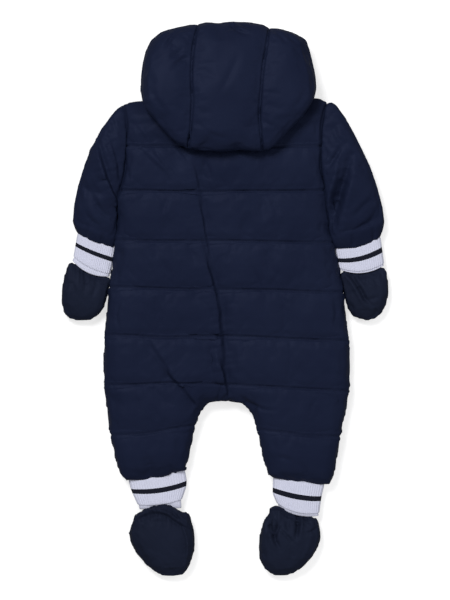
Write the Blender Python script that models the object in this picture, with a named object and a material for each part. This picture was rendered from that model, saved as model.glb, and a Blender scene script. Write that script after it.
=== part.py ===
import math
from collections import namedtuple

import bmesh
import bpy
from mathutils import Vector

# A child's padded snowsuit with hood, mittens and booties, laid on its front.
# Millimetres: x to the right, y towards the hood, z up from what it lies on.
# Left and right are the picture's, which are the wearer's own, seen from behind.
mm = 0.001

seamGap = 0.4           # between two pieces sewn together
midHeight = 14.0        # where the back lies on the front
handHeight = 11.0       # where the halves of a mitten or bootie meet
floorGap = 0.3          # under the trim

bodyCrest = 22.5        # top of a padded channel above midHeight
bodyLine = 14.5         # the same at a line of quilting
freeEdge = 3.6          # at a side seam
armholeEdge = 11.0      # at the armhole, where a sleeve is sewn on
edgeRound = 30.0        # how far in from a seam the padding rounds down
frontCrest = 14.0       # so that the channels lie flat on the surface
frontLine = 11.0

ribWall = 2.3
ribDepth = 0.45
ribCount = 28
slitHeight = 1.1        # half the space inside an empty sleeve
sleeveWall = 9.0
underarmWall = 11.0     # more of it under the arm, where the sleeve is bunched

zipX = 3.0
zipEnd = -85.0          # below it the fronts are sewn together
zipGap = 5.8            # half the opening between the fronts
tapeWidth = 10.4
tapeTop, tapeEnd = 214.0, -78.0
pullY, pullZ = 197.0, 3.4   # hinge of the zip's pull tab

Edge = namedtuple("Edge", "y x")
Line = namedtuple("Line", "name yLeft yMid yRight puff")
Cut = namedtuple("Cut", "name outX outY inX inY sag high low")

# Side of the body from the armhole down to the crotch.
sideLeft = [Edge(*row) for row in (
    [128.7, -140.9], [113.1, -140.4], [80.6, -139.6], [57.2, -142.0],
    [28.6, -146.9], [1.3, -152.1], [-33.8, -155.3], [-61.1, -157.3],
    [-87.1, -158.3], [-113.1, -156.5], [-133.9, -154.4])]
sideRight = [Edge(*row) for row in (
    [100.1, 134.3], [80.6, 136.4], [61.1, 141.2], [36.4, 147.2],
    [16.9, 152.1], [-9.1, 155.7], [-40.3, 158.9], [-61.1, 161.2],
    [-92.3, 162.8], [-113.1, 161.5], [-133.9, 159.4])]

# The armholes run from the shoulder to the underarm and bow into the body.
armholeLeft = dict(top=(-133.1, 250.9), under=(-140.9, 128.7), bow=11.3)
armholeRight = dict(top=(131.6, 255.5), under=(134.3, 100.1), bow=-8.8)

# Middle of the back, led by its long slanting crease, and the crease's depth.
Crease = namedtuple("Crease", "y x depth")
creases = [Crease(*row) for row in (
    (245.7, 3.9, 0.0), (193.7, 1.3, 0.0), (163.8, -36.4, 1.5),
    (119.6, -27.3, 3.0), (74.1, -26.0, 2.0), (41.6, -16.9, 3.5),
    (6.5, -14.3, 2.5), (-45.5, -3.9, 3.5), (-83.2, -4.5, 4.5),
    (-106.6, 0.8, 5.5), (-131.3, 3.9, 3.0))]

# Lines of quilting down the back, and the crotch.
lines = [Line(*row) for row in (
    ("yoke", 198.2, 197.6, 198.2, 0), ("shoulderBlade", 140.4, 139.1, 140.4, 0),
    ("waist", 76.7, 74.8, 73.5, 0), ("hip", 15.6, 12.3, 9.1, 0),
    ("seat", -46.8, -48.8, -53.8, 0), ("thigh", -111.7, -109.9, -119.6, 0),
    ("crotch", -133.9, -131.3, -133.9, 0.6))]

# Neck edge of the back, and of the fronts, by share of the way to the middle.
Neck = namedtuple("Neck", "share yLeft yRight frontY")
neckEdge = [Neck(*row) for row in (
    (0.0, 251.6, 256.1, 252.9), (0.036, 253.2, 258.2, 254.8), (0.11, 255.7, 261.3, 257.4),
    (0.24, 258.1, 260.0, 255.5), (0.4, 252.2, 252.9, 245.7),
    (0.58, 243.8, 243.8, 234.0), (0.75, 237.2, 237.2, 224.9),
    (0.88, 234.0, 234.0, 219.7), (1.0, 233.3, 233.3, 217.1))]

# Legs below the crotch, from the side seam to the inside seam.
Leg = namedtuple("Leg", "name outX outY inX inY sag puff")
legLeft = [Leg(*row) for row in (
    ("crotch", -154.4, -133.9, -24.7, -134.6, 0.0, 0.6),
    ("thighLow", -152.6, -150.8, -33.3, -148.2, 0.0, 0.85),
    ("kneeHigh", -151.1, -163.8, -36.7, -155.3, 0.7, 0.6),
    ("knee", -148.7, -176.5, -39.5, -164.6, 1.3, 0.0),
    ("kneeLow", -146.4, -187.2, -42.4, -178.1, 1.3, 0.7),
    ("calf", -143.5, -204.1, -46.3, -196.3, 1.3, 0.95),
    ("calfLow", -138.8, -218.4, -48.9, -210.6, 2.1, 0.75),
    ("hemFold", -134.7, -228.8, -49.9, -217.4, 2.9, 0.35),
    ("hem", -128.7, -234.8, -50.7, -221.0, 3.1, 0.0))]
legRight = [Leg(*row) for row in (
    ("crotch", 159.4, -133.9, 27.3, -135.2, 0.0, 0.6),
    ("thighLow", 156.3, -150.8, 35.6, -148.8, 0.0, 0.85),
    ("kneeHigh", 152.6, -165.1, 39.8, -158.0, 0.7, 0.6),
    ("knee", 149.2, -178.1, 43.2, -168.5, 1.3, 0.0),
    ("kneeLow", 147.9, -189.8, 46.3, -181.3, 1.3, 0.7),
    ("calf", 145.3, -206.7, 51.5, -200.2, 1.3, 0.95),
    ("calfLow", 142.5, -223.6, 56.2, -217.1, 1.3, 0.75),
    ("hemFold", 139.6, -233.5, 59.3, -228.0, 1.3, 0.35),
    ("hem", 135.2, -241.3, 60.8, -233.2, 1.2, 0.0))]

# Across a half of the body, and across a leg, as shares of its width.
bodyShares = (0.0, 0.036, 0.11, 0.24, 0.4, 0.58, 0.75, 0.88, 1.0)
legShares = (0.0, 0.045, 0.14, 0.32, 0.54, 0.76, 0.92, 1.0)

# Sleeves, from the armhole to the hem: outer end, inner end, bow, heights.
sleeveLeft = [Cut(*row) for row in (
    ("armhole", -134.9, 250.6, -142.9, 128.4, 10.8, 24.6, 3.4),
    ("cap", -146.9, 239.2, -142.2, 121.4, 5.5, 29.5, 1.0),
    ("upper", -161.2, 219.7, -141.8, 115.4, 2.9, 33.0, 0.3),
    ("arm", -172.9, 196.3, -141.6, 108.4, 1.8, 34.0, 0.3),
    ("elbow", -182.7, 171.6, -141.4, 100.9, 1.0, 34.0, 0.3),
    ("fore", -190.5, 146.9, -141.3, 93.3, 0.5, 34.0, 0.3),
    ("low", -195.7, 122.2, -141.2, 84.5, 0.0, 32.5, 0.3),
    ("puff", -197.6, 100.1, -141.1, 75.4, -1.0, 27.5, 1.6),
    ("hem", -192.4, 85.8, -141.4, 67.1, -3.2, 19.6, 4.6))]
sleeveRight = [Cut(*row) for row in (
    ("armhole", 132.9, 255.1, 135.2, 99.3, -8.8, 24.6, 3.4),
    ("cap", 144.3, 250.2, 136.4, 95.7, -5.7, 29.5, 1.0),
    ("upper", 154.7, 237.9, 137.2, 91.8, -3.4, 32.5, 0.3),
    ("arm", 166.4, 217.1, 137.9, 87.9, -2.1, 34.0, 0.3),
    ("armLow", 177.5, 195.0, 138.7, 84.0, -1.0, 34.0, 0.3),
    ("elbow", 188.5, 171.6, 139.5, 80.1, -0.5, 34.0, 0.3),
    ("fore", 197.0, 146.9, 140.4, 76.2, 0.0, 33.5, 0.3),
    ("low", 204.1, 120.9, 141.3, 72.5, 0.7, 31.0, 0.3),
    ("puff", 207.3, 100.1, 141.8, 69.2, 3.1, 26.5, 1.6),
    ("hem", 202.5, 81.1, 142.9, 66.0, 6.1, 19.6, 4.6))]

# Ribbed cuffs: the last two rows are the turned-in layer below the outer one.
wristLeft = [Cut(*row) for row in (
    ("top", -191.9, 84.6, -141.7, 66.2, -3.2, 18.4, 4.0),
    ("edge", -197.1, 55.2, -149.1, 32.5, -3.9, 18.2, 3.8),
    ("turn", -195.9, 54.7, -150.3, 33.0, -3.9, 17.1, 4.9),
    ("end", -198.9, 49.9, -150.8, 28.9, -6.5, 16.9, 5.1))]
wristRight = [Cut(*row) for row in (
    ("top", 202.4, 79.8, 143.1, 64.9, 6.1, 18.4, 4.0),
    ("edge", 206.7, 49.4, 146.9, 44.7, 6.5, 18.2, 3.8),
    ("turn", 205.5, 49.3, 148.1, 44.9, 6.5, 17.1, 4.9),
    ("end", 207.2, 43.9, 148.1, 39.9, 7.2, 16.9, 5.1))]
ankleLeft = [Cut(*row) for row in (
    ("top", -125.5, -235.6, -52.5, -222.2, -2.9, 18.8, 3.2),
    ("swell", -121.9, -249.6, -49.1, -240.5, -2.6, 19.0, 3.0),
    ("edge", -113.4, -267.8, -56.2, -260.8, -3.2, 18.6, 3.4),
    ("turn", -112.1, -267.7, -57.5, -260.9, -3.2, 17.5, 4.5),
    ("end", -111.3, -273.8, -56.7, -272.5, 0.0, 17.3, 4.7))]
ankleRight = [Cut(*row) for row in (
    ("top", 129.1, -242.3, 62.7, -234.1, 0.4, 18.8, 3.2),
    ("swell", 125.1, -258.7, 62.1, -253.5, 3.4, 19.0, 3.0),
    ("edge", 122.6, -278.5, 67.9, -266.0, 5.5, 18.6, 3.4),
    ("turn", 121.3, -278.2, 69.2, -266.2, 5.5, 17.5, 4.5),
    ("end", 121.9, -282.4, 69.5, -270.7, 5.2, 17.3, 4.7))]

# Mittens and booties: a neck held in the cuff, then the padded end.
mittenLeft = [Cut(*row) for row in (
    ("neck", -190.1, 51.0, -155.5, 35.9, -4.4, 2.5, 2.5),
    ("mouth", -192.9, 44.5, -157.0, 28.3, -6.5, 2.7, 2.7),
    ("swell", -205.1, 42.1, -150.0, 22.9, -6.0, 7.5, 7.0),
    ("knuckle", -210.1, 28.6, -151.6, 13.7, -3.2, 11.0, 10.6),
    ("palm", -212.7, 11.7, -154.4, 0.7, -2.0, 12.4, 10.7),
    ("finger", -212.7, -3.9, -158.3, -11.1, -1.3, 11.6, 10.6),
    ("fingerLow", -208.5, -18.2, -165.8, -20.2, -1.3, 8.4, 8.0),
    ("tip", -200.8, -25.5, -173.6, -26.5, -1.3, 2.6, 2.6))]
mittenRight = [Cut(*row) for row in (
    ("neck", 199.2, 49.1, 155.7, 45.8, 5.5, 2.5, 2.5),
    ("mouth", 200.5, 39.8, 155.0, 36.7, 7.2, 2.7, 2.7),
    ("swell", 209.3, 34.3, 151.3, 27.0, 5.2, 7.5, 7.0),
    ("knuckle", 212.3, 20.8, 153.7, 12.3, 2.6, 11.0, 10.6),
    ("palm", 212.7, 7.8, 156.5, 0.0, 2.0, 12.4, 10.7),
    ("finger", 209.6, -7.2, 160.4, -12.3, 1.3, 11.6, 10.6),
    ("fingerLow", 203.6, -17.6, 167.2, -21.6, 1.3, 8.4, 8.0),
    ("tip", 195.8, -24.7, 177.5, -25.7, 1.3, 2.6, 2.6))]
bootieLeft = [Cut(*row) for row in (
    ("neck", -103.2, -265.5, -64.7, -263.9, 0.0, 2.7, 2.7),
    ("mouth", -104.5, -276.6, -62.9, -275.6, 0.0, 2.9, 2.9),
    ("heel", -115.4, -282.9, -48.2, -282.1, 0.0, 9.0, 7.6),
    ("heelLow", -122.5, -293.8, -42.6, -293.0, 0.0, 13.0, 10.4),
    ("instep", -125.3, -304.7, -39.9, -306.0, 0.0, 15.0, 10.7),
    ("ball", -122.2, -317.2, -39.1, -320.3, 0.0, 16.0, 10.7),
    ("toe", -114.4, -330.5, -41.6, -334.6, 0.0, 15.4, 10.6),
    ("toeLow", -102.0, -345.0, -46.4, -347.9, -1.3, 11.6, 9.2),
    ("tip", -87.1, -356.2, -54.3, -358.0, -2.9, 3.0, 3.0))]
bootieRight = [Cut(*row) for row in (
    ("neck", 113.9, -272.5, 78.0, -264.7, 4.4, 2.7, 2.7),
    ("mouth", 113.9, -285.2, 76.4, -276.4, 4.7, 2.9, 2.9),
    ("heel", 122.2, -289.9, 60.1, -277.3, 3.1, 9.0, 7.6),
    ("heelLow", 124.3, -299.0, 51.2, -289.9, 1.3, 13.0, 10.4),
    ("instep", 124.3, -310.7, 45.4, -306.8, 0.0, 15.0, 10.7),
    ("ball", 120.6, -322.4, 43.4, -322.9, 0.0, 16.0, 10.7),
    ("toe", 112.6, -335.1, 45.0, -338.0, 0.0, 15.4, 10.6),
    ("toeLow", 101.4, -347.1, 52.0, -350.2, 1.3, 11.6, 9.2),
    ("tip", 88.4, -355.7, 63.1, -358.0, 2.1, 3.0, 3.0))]
acrossShares = (0.0, 0.05, 0.17, 0.34, 0.5, 0.66, 0.83, 0.95, 1.0)

# The hood seen from above, round from the left end of its lower edge.
hoodMiddle = (3.9, 271.7)
hoodOutline = [
    (-91.0, 230.5), (-106.6, 248.3), (-108.7, 261.3), (-108.8, 279.5), (-106.3, 306.8),
    (-101.8, 325.0), (-94.5, 338.5), (-86.3, 345.8), (-74.5, 348.4), (-48.9, 355.6),
    (-28.9, 359.2), (-10.4, 357.5), (20.4, 359.6), (40.3, 357.5), (54.6, 352.3),
    (81.9, 347.1), (98.8, 341.9), (105.3, 336.7), (108.8, 325.0), (114.4, 301.6),
    (118.6, 274.3), (117.0, 262.6), (112.7, 249.6), (101.4, 235.3), (81.9, 215.8),
    (65.0, 197.6), (54.2, 190.7), (18.2, 191.9), (-27.3, 191.9), (-46.8, 192.4),
    (-56.3, 197.0), (-67.6, 204.5)]
hoodWall = 8.4
hoodSeamDip = 3.0
onBody = 35.1           # underside of the hood where it lies on the back
onTrim = 4.2            # and where it lies on its trim
# Distance in from the outline, and height between underside and top.
HoodRing = namedtuple("HoodRing", "inset rise")
hoodRings = [HoodRing(*row) for row in (
    (40, 0.0), (24, 0.0), (9, 0.08), (2, 0.26), (0, 0.47), (3, 0.72),
    (10, 0.9), (24, 0.985), (46, 1.0))]
hoodSeams = dict(left=((-37.1, 356.2), (-45.5, 193.7)), right=((52.8, 349.7), (45.8, 193.7)))

hoodInner = [HoodRing(*row) for row in (
    (40, 0.0), (24, 0.0), (13, 0.14), (9.6, 0.5), (13, 0.84), (24, 0.97), (46, 1.0))]

# White trim round the face opening: how far its two edges lie inside the outline.
Trim = namedtuple("Trim", "angle outer inner")
trimRows = [Trim(*row) for row in (
    (184, 14, 40), (170, 10, 36), (156, 6, 30), (144, 1.2, 24),
    (136, -2.4, 22), (128, -2.2, 22), (118, 1.4, 22), (104, 3.5, 22), (90, 3.5, 22),
    (76, 2.5, 22), (64, -1.6, 22), (52, -2.6, 22), (44, -2.0, 22), (36, 1.5, 24),
    (22, 6, 30), (10, 10, 36), (-4, 14, 40))]
trimTop = 3.6

shades = {
    "shell": (0.0122, 0.0160, 0.0343), "boot": (0.0100, 0.0130, 0.0267),
    "rib": (0.62, 0.63, 0.74), "trim": (0.87, 0.87, 0.90),
    "zip": (0.010, 0.012, 0.022), "metal": (0.32, 0.33, 0.35)}


def lerp(a, b, t):
    return a + (b - a) * t


def lookUp(table, at, column):
    """Value of a column at a height, from a table that runs down in y."""
    for upper, lower in zip(table, table[1:]):
        if at >= lower.y:
            t = (upper.y - at) / (upper.y - lower.y)
            return lerp(getattr(upper, column), getattr(lower, column), max(t, 0.0))
    return getattr(table[-1], column)


def armholeX(hole, y):
    (topX, topY), (underX, underY) = hole["top"], hole["under"]
    t = min(max((topY - y) / (topY - underY), 0.0), 1.0)
    return lerp(topX, underX, t) + hole["bow"] * 4 * t * (1 - t)


def sideX(side, y):
    hole, edge = (armholeLeft, sideLeft) if side == "left" else (armholeRight, sideRight)
    return armholeX(hole, y) if y > hole["under"][1] else lookUp(edge, y, "x")


def roundOff(distance, width):
    t = min(distance / width, 1.0)
    return math.sqrt(1 - (1 - t) ** 2)


def finish(bm, name, shade, rough=0.6, metal=0.0):
    """Turns a piece's points, in millimetres, into one named solid of its own material."""
    bmesh.ops.remove_doubles(bm, verts=bm.verts[:], dist=0.01)
    bmesh.ops.recalc_face_normals(bm, faces=bm.faces[:])
    bmesh.ops.scale(bm, vec=(mm, mm, mm), verts=bm.verts[:])
    mesh = bpy.data.meshes.new(name)
    bm.to_mesh(mesh)
    bm.free()
    material = bpy.data.materials.new(name + "_" + shade)
    material.use_nodes = True
    surface = material.node_tree.nodes["Principled BSDF"]
    surface.inputs["Base Color"].default_value = (*shades[shade], 1.0)
    surface.inputs["Roughness"].default_value = rough
    surface.inputs["Metallic"].default_value = metal
    mesh.materials.append(material)
    piece = bpy.data.objects.new(name, mesh)
    bpy.context.collection.objects.link(piece)
    return piece


def gridThrough(rows):
    """A sheet of faces through rows of points, and the row and column of each."""
    across = len(rows[0])
    bm = bmesh.new()
    bmesh.ops.create_grid(bm, x_segments=across - 1, y_segments=len(rows) - 1, size=1.0)
    bm.verts.ensure_lookup_table()
    place = {}
    for r, row in enumerate(rows):
        for c, point in enumerate(row):
            vert = bm.verts[r * across + c]
            vert.co = Vector(point)
            place[vert] = (r, c)
    return bm, place


def seamHeight(x, y, seams, crest):
    """Height of the padding at a point, rounded down to the nearest seams."""
    height = crest
    for (ax, ay, baseA), (bx, by, baseB), width in seams:
        dx, dy = bx - ax, by - ay
        size = dx * dx + dy * dy
        t = 0.0 if size < 1e-9 else min(max(((x - ax) * dx + (y - ay) * dy) / size, 0.0), 1.0)
        base = lerp(baseA, baseB, t)
        away = math.hypot(ax + dx * t - x, ay + dy * t - y)
        height = min(height, base + max(crest - base, 0.0) * roundOff(away, width))
    return height


def paddedPanel(name, rows, crests, bases, level, facing, width, skip=None, shade="shell"):
    """A padded panel: flat inside at a level, its outside domed between seams."""
    bm, place = gridThrough(rows)
    if skip:
        firstRow, columns = skip
        bmesh.ops.delete(bm, context="FACES", geom=[
            face for face in bm.faces if min(place[v][0] for v in face.verts) >= firstRow
            and min(place[v][1] for v in face.verts) in columns])
    base = {vert: bases[place[vert][0]][place[vert][1]] for vert in bm.verts}
    seams = []
    for seam in (e for e in bm.edges if e.is_boundary):
        a, b = seam.verts
        reach = width * (0.5 if min(base[a], base[b]) > 8 else 1.0)
        seams.append(((a.co.x, a.co.y, base[a]), (b.co.x, b.co.y, base[b]), reach))
    outside = {}
    for vert in bm.verts:
        r, c = place[vert]
        outside[vert] = base[vert] if vert.is_boundary else seamHeight(
            vert.co.x, vert.co.y, seams, crests[r][c])
    lifted = bmesh.ops.extrude_face_region(bm, geom=bm.faces[:])
    for item in lifted["geom"]:
        if isinstance(item, bmesh.types.BMVert):
            item.co.z = level + facing * seamGap / 2
    for vert, height in outside.items():
        vert.co.z = level + facing * height
    return finish(bm, name, shade)


def bodyHalf(side, middleX, neck):
    """Rows from side seam to middle, down the body and then the leg of one side."""
    leg = legLeft if side == "left" else legRight
    rows = []

    def heightAt(line, share):
        return lerp(line.yLeft if side == "left" else line.yRight, line.yMid, share)

    def row(yOf, shares, puff, neckRow=False):
        outX = sideX(side, yOf(0.0))
        midX = middleX(yOf(1.0))
        arm = yOf(0.0) > (armholeLeft if side == "left" else armholeRight)["under"][1]
        base = 6.0 if neckRow else armholeEdge if arm else freeEdge
        rows.append(([(lerp(outX, midX, s), yOf(f), 0.0) for f, s in zip(bodyShares, shares)],
                     puff, base))

    row(lambda f: neck[bodyShares.index(f)], bodyShares, 0.5, True)
    for t, puff in ((0.35, 0.75), (0.7, 0.8), (1.0, 0.0)):
        row(lambda f: lerp(neck[bodyShares.index(f)], heightAt(lines[0], f), t), bodyShares, puff)
    for upper, lower in zip(lines, lines[1:]):
        crotch = lower.name == "crotch"
        for t, puff in (((0.4, 0.5), (0.75, 0.6)) if crotch else
                        ((0.18, 0.72), (0.5, 1.0), (0.82, 0.72), (1.0, 0.0))):
            shares = bodyShares
            if crotch:
                k = (leg[0].inX - leg[0].outX) / (middleX(lines[-1].yMid) - leg[0].outX)
                shares = [lerp(b, l * k, t) for b, l in zip(bodyShares, legShares)] + [1.0]
            row(lambda f: lerp(heightAt(upper, f), heightAt(lower, f), t), shares, puff)
    for r, cut in enumerate(leg):
        points = [(lerp(cut.outX, cut.inX, s),
                   lerp(cut.outY, cut.inY, s) - cut.sag * 4 * s * (1 - s), 0.0) for s in legShares]
        points.append((middleX(lines[-1].yMid), lines[-1].yMid if r == 0 else cut.inY, 0.0))
        rows.append((points, cut.puff, 5.0 if cut.name == "hem" else freeEdge))
    return rows


def backPanel():
    neckLeft, neckRight = [n.yLeft for n in neckEdge], [n.yRight for n in neckEdge]
    crease = lambda y: lookUp(creases, y, "x")
    left = bodyHalf("left", crease, neckLeft)
    right = bodyHalf("right", crease, neckRight)
    rows, crests, bases = [], [], []
    for (pointsL, puff, baseL), (pointsR, _, baseR) in zip(left, right):
        points = pointsL + pointsR[-2::-1]
        level = lerp(bodyLine, bodyCrest, puff)
        depth = lookUp(creases, pointsL[-1][1], "depth")
        dips = {8: depth, 7: depth * 0.4, 9: depth * 0.4}
        rows.append(points)
        crests.append([level - dips.get(c, 0.0) for c in range(len(points))])
        bases.append([baseL] * 8 + [min(baseL, baseR)] + [baseR] * 8)
    crotchRow = len(rows) - len(legLeft)
    paddedPanel("back_panel", rows, crests, bases, midHeight, 1, edgeRound, (crotchRow, (7, 8)))


def frontPanel(side):
    neck = [n.frontY for n in neckEdge]
    out = -1 if side == "left" else 1
    middle = lambda y: zipX + out * (zipGap if y > zipEnd else seamGap / 2)
    half = bodyHalf(side, middle, neck)
    rows = [points for points, _, _ in half]
    crests = [[frontLine if puff == 0.0 else frontCrest] * 9 for _, puff, _ in half]
    bases = [[min(base, 9.0)] * 8 + [freeEdge] for _, _, base in half]
    crotchRow = len(rows) - len(legLeft)
    paddedPanel("front_panel_" + side, rows, crests, bases, midHeight, -1, edgeRound * 0.7,
                (crotchRow, (7,)))


def ringPoint(cut, turn, trim=0.0, thinner=0.0, slit=None, underarm=0.0):
    """A point of a flattened ring laid across a tube of cloth."""
    outEnd, inEnd = Vector((cut.outX, cut.outY)), Vector((cut.inX, cut.inY))
    along = (inEnd - outEnd).normalized()
    outEnd, inEnd = outEnd + along * trim, inEnd - along * (trim + underarm)
    t = 0.5 - 0.5 * math.cos(turn)
    spot = outEnd.lerp(inEnd, t) + Vector((-along.y, along.x)) * cut.sag * 4 * t * (1 - t)
    middle = (cut.high + cut.low) / 2
    half = (cut.high - cut.low) / 2 - thinner if slit is None else slit
    up = math.sin(turn)
    return (spot.x, spot.y, middle + math.copysign(half * abs(up) ** (0.72 if up > 0 else 0.55), up))


def clothTube(name, cuts, turns, shade, wall, slit=None, ribs=0.0, underarm=0.0):
    """A tube of cloth lying flat: outer rings, inner rings, and the ends between."""
    def ring(cut, inside):
        points = []
        more = underarm if inside and cut not in (cuts[0], cuts[-1]) else 0.0
        for k, turn in enumerate(turns):
            raised = ribs if k % 2 and not inside else 0.0
            points.append(ringPoint(cut, turn, wall if inside else -raised,
                                    wall if inside else -raised, slit if inside else None, more))
        return points + points[:1]
    rows = [ring(cut, False) for cut in cuts] + [ring(cut, True) for cut in reversed(cuts)]
    bm, _ = gridThrough(rows + rows[:1])
    finish(bm, name, shade)


def cuff(name, cuts):
    half = ribCount
    lean = [math.acos(1 - 2 * k / half) for k in range(half)]
    turns = lean + [math.pi + turn for turn in lean]
    clothTube(name, cuts, turns, "rib", ribWall, ribs=ribDepth)


def padHalf(name, cuts, facing, shade, edge=1.5):
    """One half of a mitten or bootie, from its neck in the cuff to its tip."""
    rows, crests, bases = [], [], []
    for r, cut in enumerate(cuts):
        outEnd, inEnd = Vector((cut.outX, cut.outY)), Vector((cut.inX, cut.inY))
        along = (inEnd - outEnd).normalized()
        bow = Vector((-along.y, along.x)) * cut.sag
        rows.append([(*(outEnd.lerp(inEnd, t) + bow * 4 * t * (1 - t)), 0.0) for t in acrossShares])
        high = cut.high if facing > 0 else cut.low
        crests.append([high] * 9)
        bases.append([min(edge, high)] + [high if r == 0 else edge] * 7 + [min(edge, high)])
    paddedPanel(name, rows, crests, bases, handHeight, facing, 15.0, shade=shade)


def smooth(t):
    t = min(max(t, 0.0), 1.0)
    return t * t * (3 - 2 * t)


def hoodReach(angle):
    """Distance from the hood's middle to its outline in a direction."""
    polar = sorted((math.atan2(y - hoodMiddle[1], x - hoodMiddle[0]) % math.tau,
                    math.hypot(x - hoodMiddle[0], y - hoodMiddle[1])) for x, y in hoodOutline)
    angle %= math.tau
    polar = [(polar[-1][0] - math.tau, polar[-1][1])] + polar + [(polar[0][0] + math.tau, polar[0][1])]
    for (a, reachA), (b, reachB) in zip(polar, polar[1:]):
        if a <= angle <= b:
            return lerp(reachA, reachB, (angle - a) / (b - a))


def hoodPoint(angle, inset, rise, wall):
    reach = max(hoodReach(angle) - inset, 0.0)
    x, y = hoodMiddle[0] + math.cos(angle) * reach, hoodMiddle[1] + math.sin(angle) * reach
    under = lerp(onTrim, onBody, smooth((278.2 - y) / 16.0)) + wall
    top = lerp(45.5, 61.0, smooth((357.5 - y) / 95.0)) - wall
    return (x, y, lerp(under, top, rise))


def hoodShell():
    """The whole hood as one hollow shell, open towards the face."""
    turns = 44
    rows = []
    for outside in (False, True):
        for inset, rise in hoodRings if outside else hoodInner:
            row = []
            for k in range(turns + 1):
                angle = math.tau * k / turns
                crown = smooth(math.sin(angle) * 1.6 - 0.1)
                tuck = lerp(1.0, 0.45, crown) if rise < 0.1 else 1.0
                least = 0.0 if outside else 13.5 if rise < 0.1 else 0.0
                row.append(hoodPoint(angle, max(inset * tuck, least), rise, 0.0 if outside else hoodWall))
            rows.append(row)
        if not outside:
            rows.reverse()
    ends = [hoodPoint(0.0, 500.0, 1.0, wall) for wall in (hoodWall, 0.0)]
    rows = [[ends[0]] * (turns + 1)] + rows + [[ends[1]] * (turns + 1)]
    bm, _ = gridThrough(rows)
    skin = bm.verts.layers.float.new("skin")
    bm.verts.ensure_lookup_table()
    firstUp = len(hoodInner) + 1 + sum(ring.rise < 0.2 for ring in hoodRings)
    for r in range(firstUp, len(rows)):
        for k in range(turns + 1):
            bm.verts[r * (turns + 1) + k][skin] = 1.0
    bmesh.ops.remove_doubles(bm, verts=bm.verts[:], dist=0.01)
    return bm


def cutAcross(bm, spot, away, clear=True):
    geometry = bm.verts[:] + bm.edges[:] + bm.faces[:]
    cut = bmesh.ops.bisect_plane(bm, geom=geometry, dist=1e-4, plane_co=spot, plane_no=away,
                                 clear_outer=clear)
    if clear:
        rim = [item for item in cut["geom_cut"] if isinstance(item, bmesh.types.BMEdge)]
        bmesh.ops.triangle_fill(bm, use_beauty=True, edges=rim)


def hoodPanels():
    whole = hoodShell()
    planes = {}
    for side, ends in hoodSeams.items():
        a, b = (Vector((*end, 0.0)) for end in ends)
        run = (b - a).normalized()
        planes[side] = (a, Vector((-run.y, run.x, 0.0)))
    for side, (spot, across) in planes.items():
        for step in (-8.0, 8.0):
            cutAcross(whole, spot + across * step, across, clear=False)
    for name, cuts in (("left", (("left", 1),)), ("centre", (("left", -1), ("right", 1))),
                       ("right", (("right", -1),))):
        bm = whole.copy()
        skin = bm.verts.layers.float["skin"]
        for seam, keep in cuts:
            spot, across = planes[seam]
            cutAcross(bm, spot - across * keep * seamGap / 2, across * keep)
        for vert in bm.verts:
            for spot, across in planes.values():
                away = abs((vert.co - spot).dot(across))
                if away < 8.0 and vert[skin] > 0.9:
                    lean = Vector((0.0, (vert.co.y - hoodMiddle[1]) / 7000.0, (vert.co.z - 30.0) / 700.0))
                    vert.co -= lean.normalized() * hoodSeamDip * (1 - away / 8.0) ** 2
        finish(bm, "hood_" + name, "shell")
    whole.free()


def hoodTrim():
    rows = []
    for row in trimRows:
        angle = math.radians(row.angle)
        band = []
        for share, height in ((0.0, 2.6), (0.2, trimTop), (0.8, trimTop), (1.0, 3.0)):
            reach = hoodReach(angle) - lerp(row.outer, row.inner, share)
            band.append((hoodMiddle[0] + math.cos(angle) * reach,
                         hoodMiddle[1] + math.sin(angle) * reach, height))
        rows.append(band)
    bm, _ = gridThrough(rows)
    lifted = bmesh.ops.extrude_face_region(bm, geom=bm.faces[:])
    for item in lifted["geom"]:
        if isinstance(item, bmesh.types.BMVert):
            item.co.z = floorGap
    finish(bm, "hood_trim", "trim")


def block(name, rows, low, shade, rough=0.6, metal=0.0):
    """A flat strip through rows of points, as thick as they stand above a level."""
    bm, _ = gridThrough(rows)
    lifted = bmesh.ops.extrude_face_region(bm, geom=bm.faces[:])
    for item in lifted["geom"]:
        if isinstance(item, bmesh.types.BMVert):
            item.co.z = low
    return finish(bm, name, shade, rough, metal)


def frontZip():
    half = tapeWidth / 2
    rows = [[(zipX + half * s, y, 12.2 if abs(s) < 0.5 else 11.4) for s in (-1, -0.3, 0.3, 1)]
            for y in (tapeTop, tapeEnd)]
    block("front_zip", rows, 9.4, "zip")


def zipSlider():
    """The slider's plate, with two lugs below that hold the pull tab between them."""
    bm, place = gridThrough([[(zipX + x, pullY + y, 9.0) for x in (-4.0, -3.0, 3.0, 4.0)]
                             for y in (10.2, 1.6, -1.6, -2.8)])
    lifted = bmesh.ops.extrude_face_region(bm, geom=bm.faces[:])
    low = [item for item in lifted["geom"] if isinstance(item, bmesh.types.BMVert)]
    for vert in low:
        vert.co.z = 5.6
    bm.normal_update()
    for lug in (-3.5, 3.5):
        face = min((f for f in bm.faces if abs(f.normal.z) > 0.9 and all(v in low for v in f.verts)),
                   key=lambda f: (f.calc_center_median() - Vector((zipX + lug, pullY, 5.6))).length)
        grown = bmesh.ops.extrude_face_region(bm, geom=[face])
        bmesh.ops.delete(bm, geom=[face], context="FACES_ONLY")
        for item in grown["geom"]:
            if isinstance(item, bmesh.types.BMVert):
                item.co.z = 2.0
    finish(bm, "zip_slider", "metal", 0.35, 1.0)


def zipPull():
    rows = [[(zipX + half * s, pullY + y, pullZ + 0.8) for s in (-1, 1)] for y, half in
            ((0.8, 2.6), (-5.0, 2.6), (-6.4, 3.8), (-19.0, 3.8), (-21.5, 2.2))]
    block("zip_pull", rows, pullZ - 0.8, "metal", 0.35, 1.0)


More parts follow.
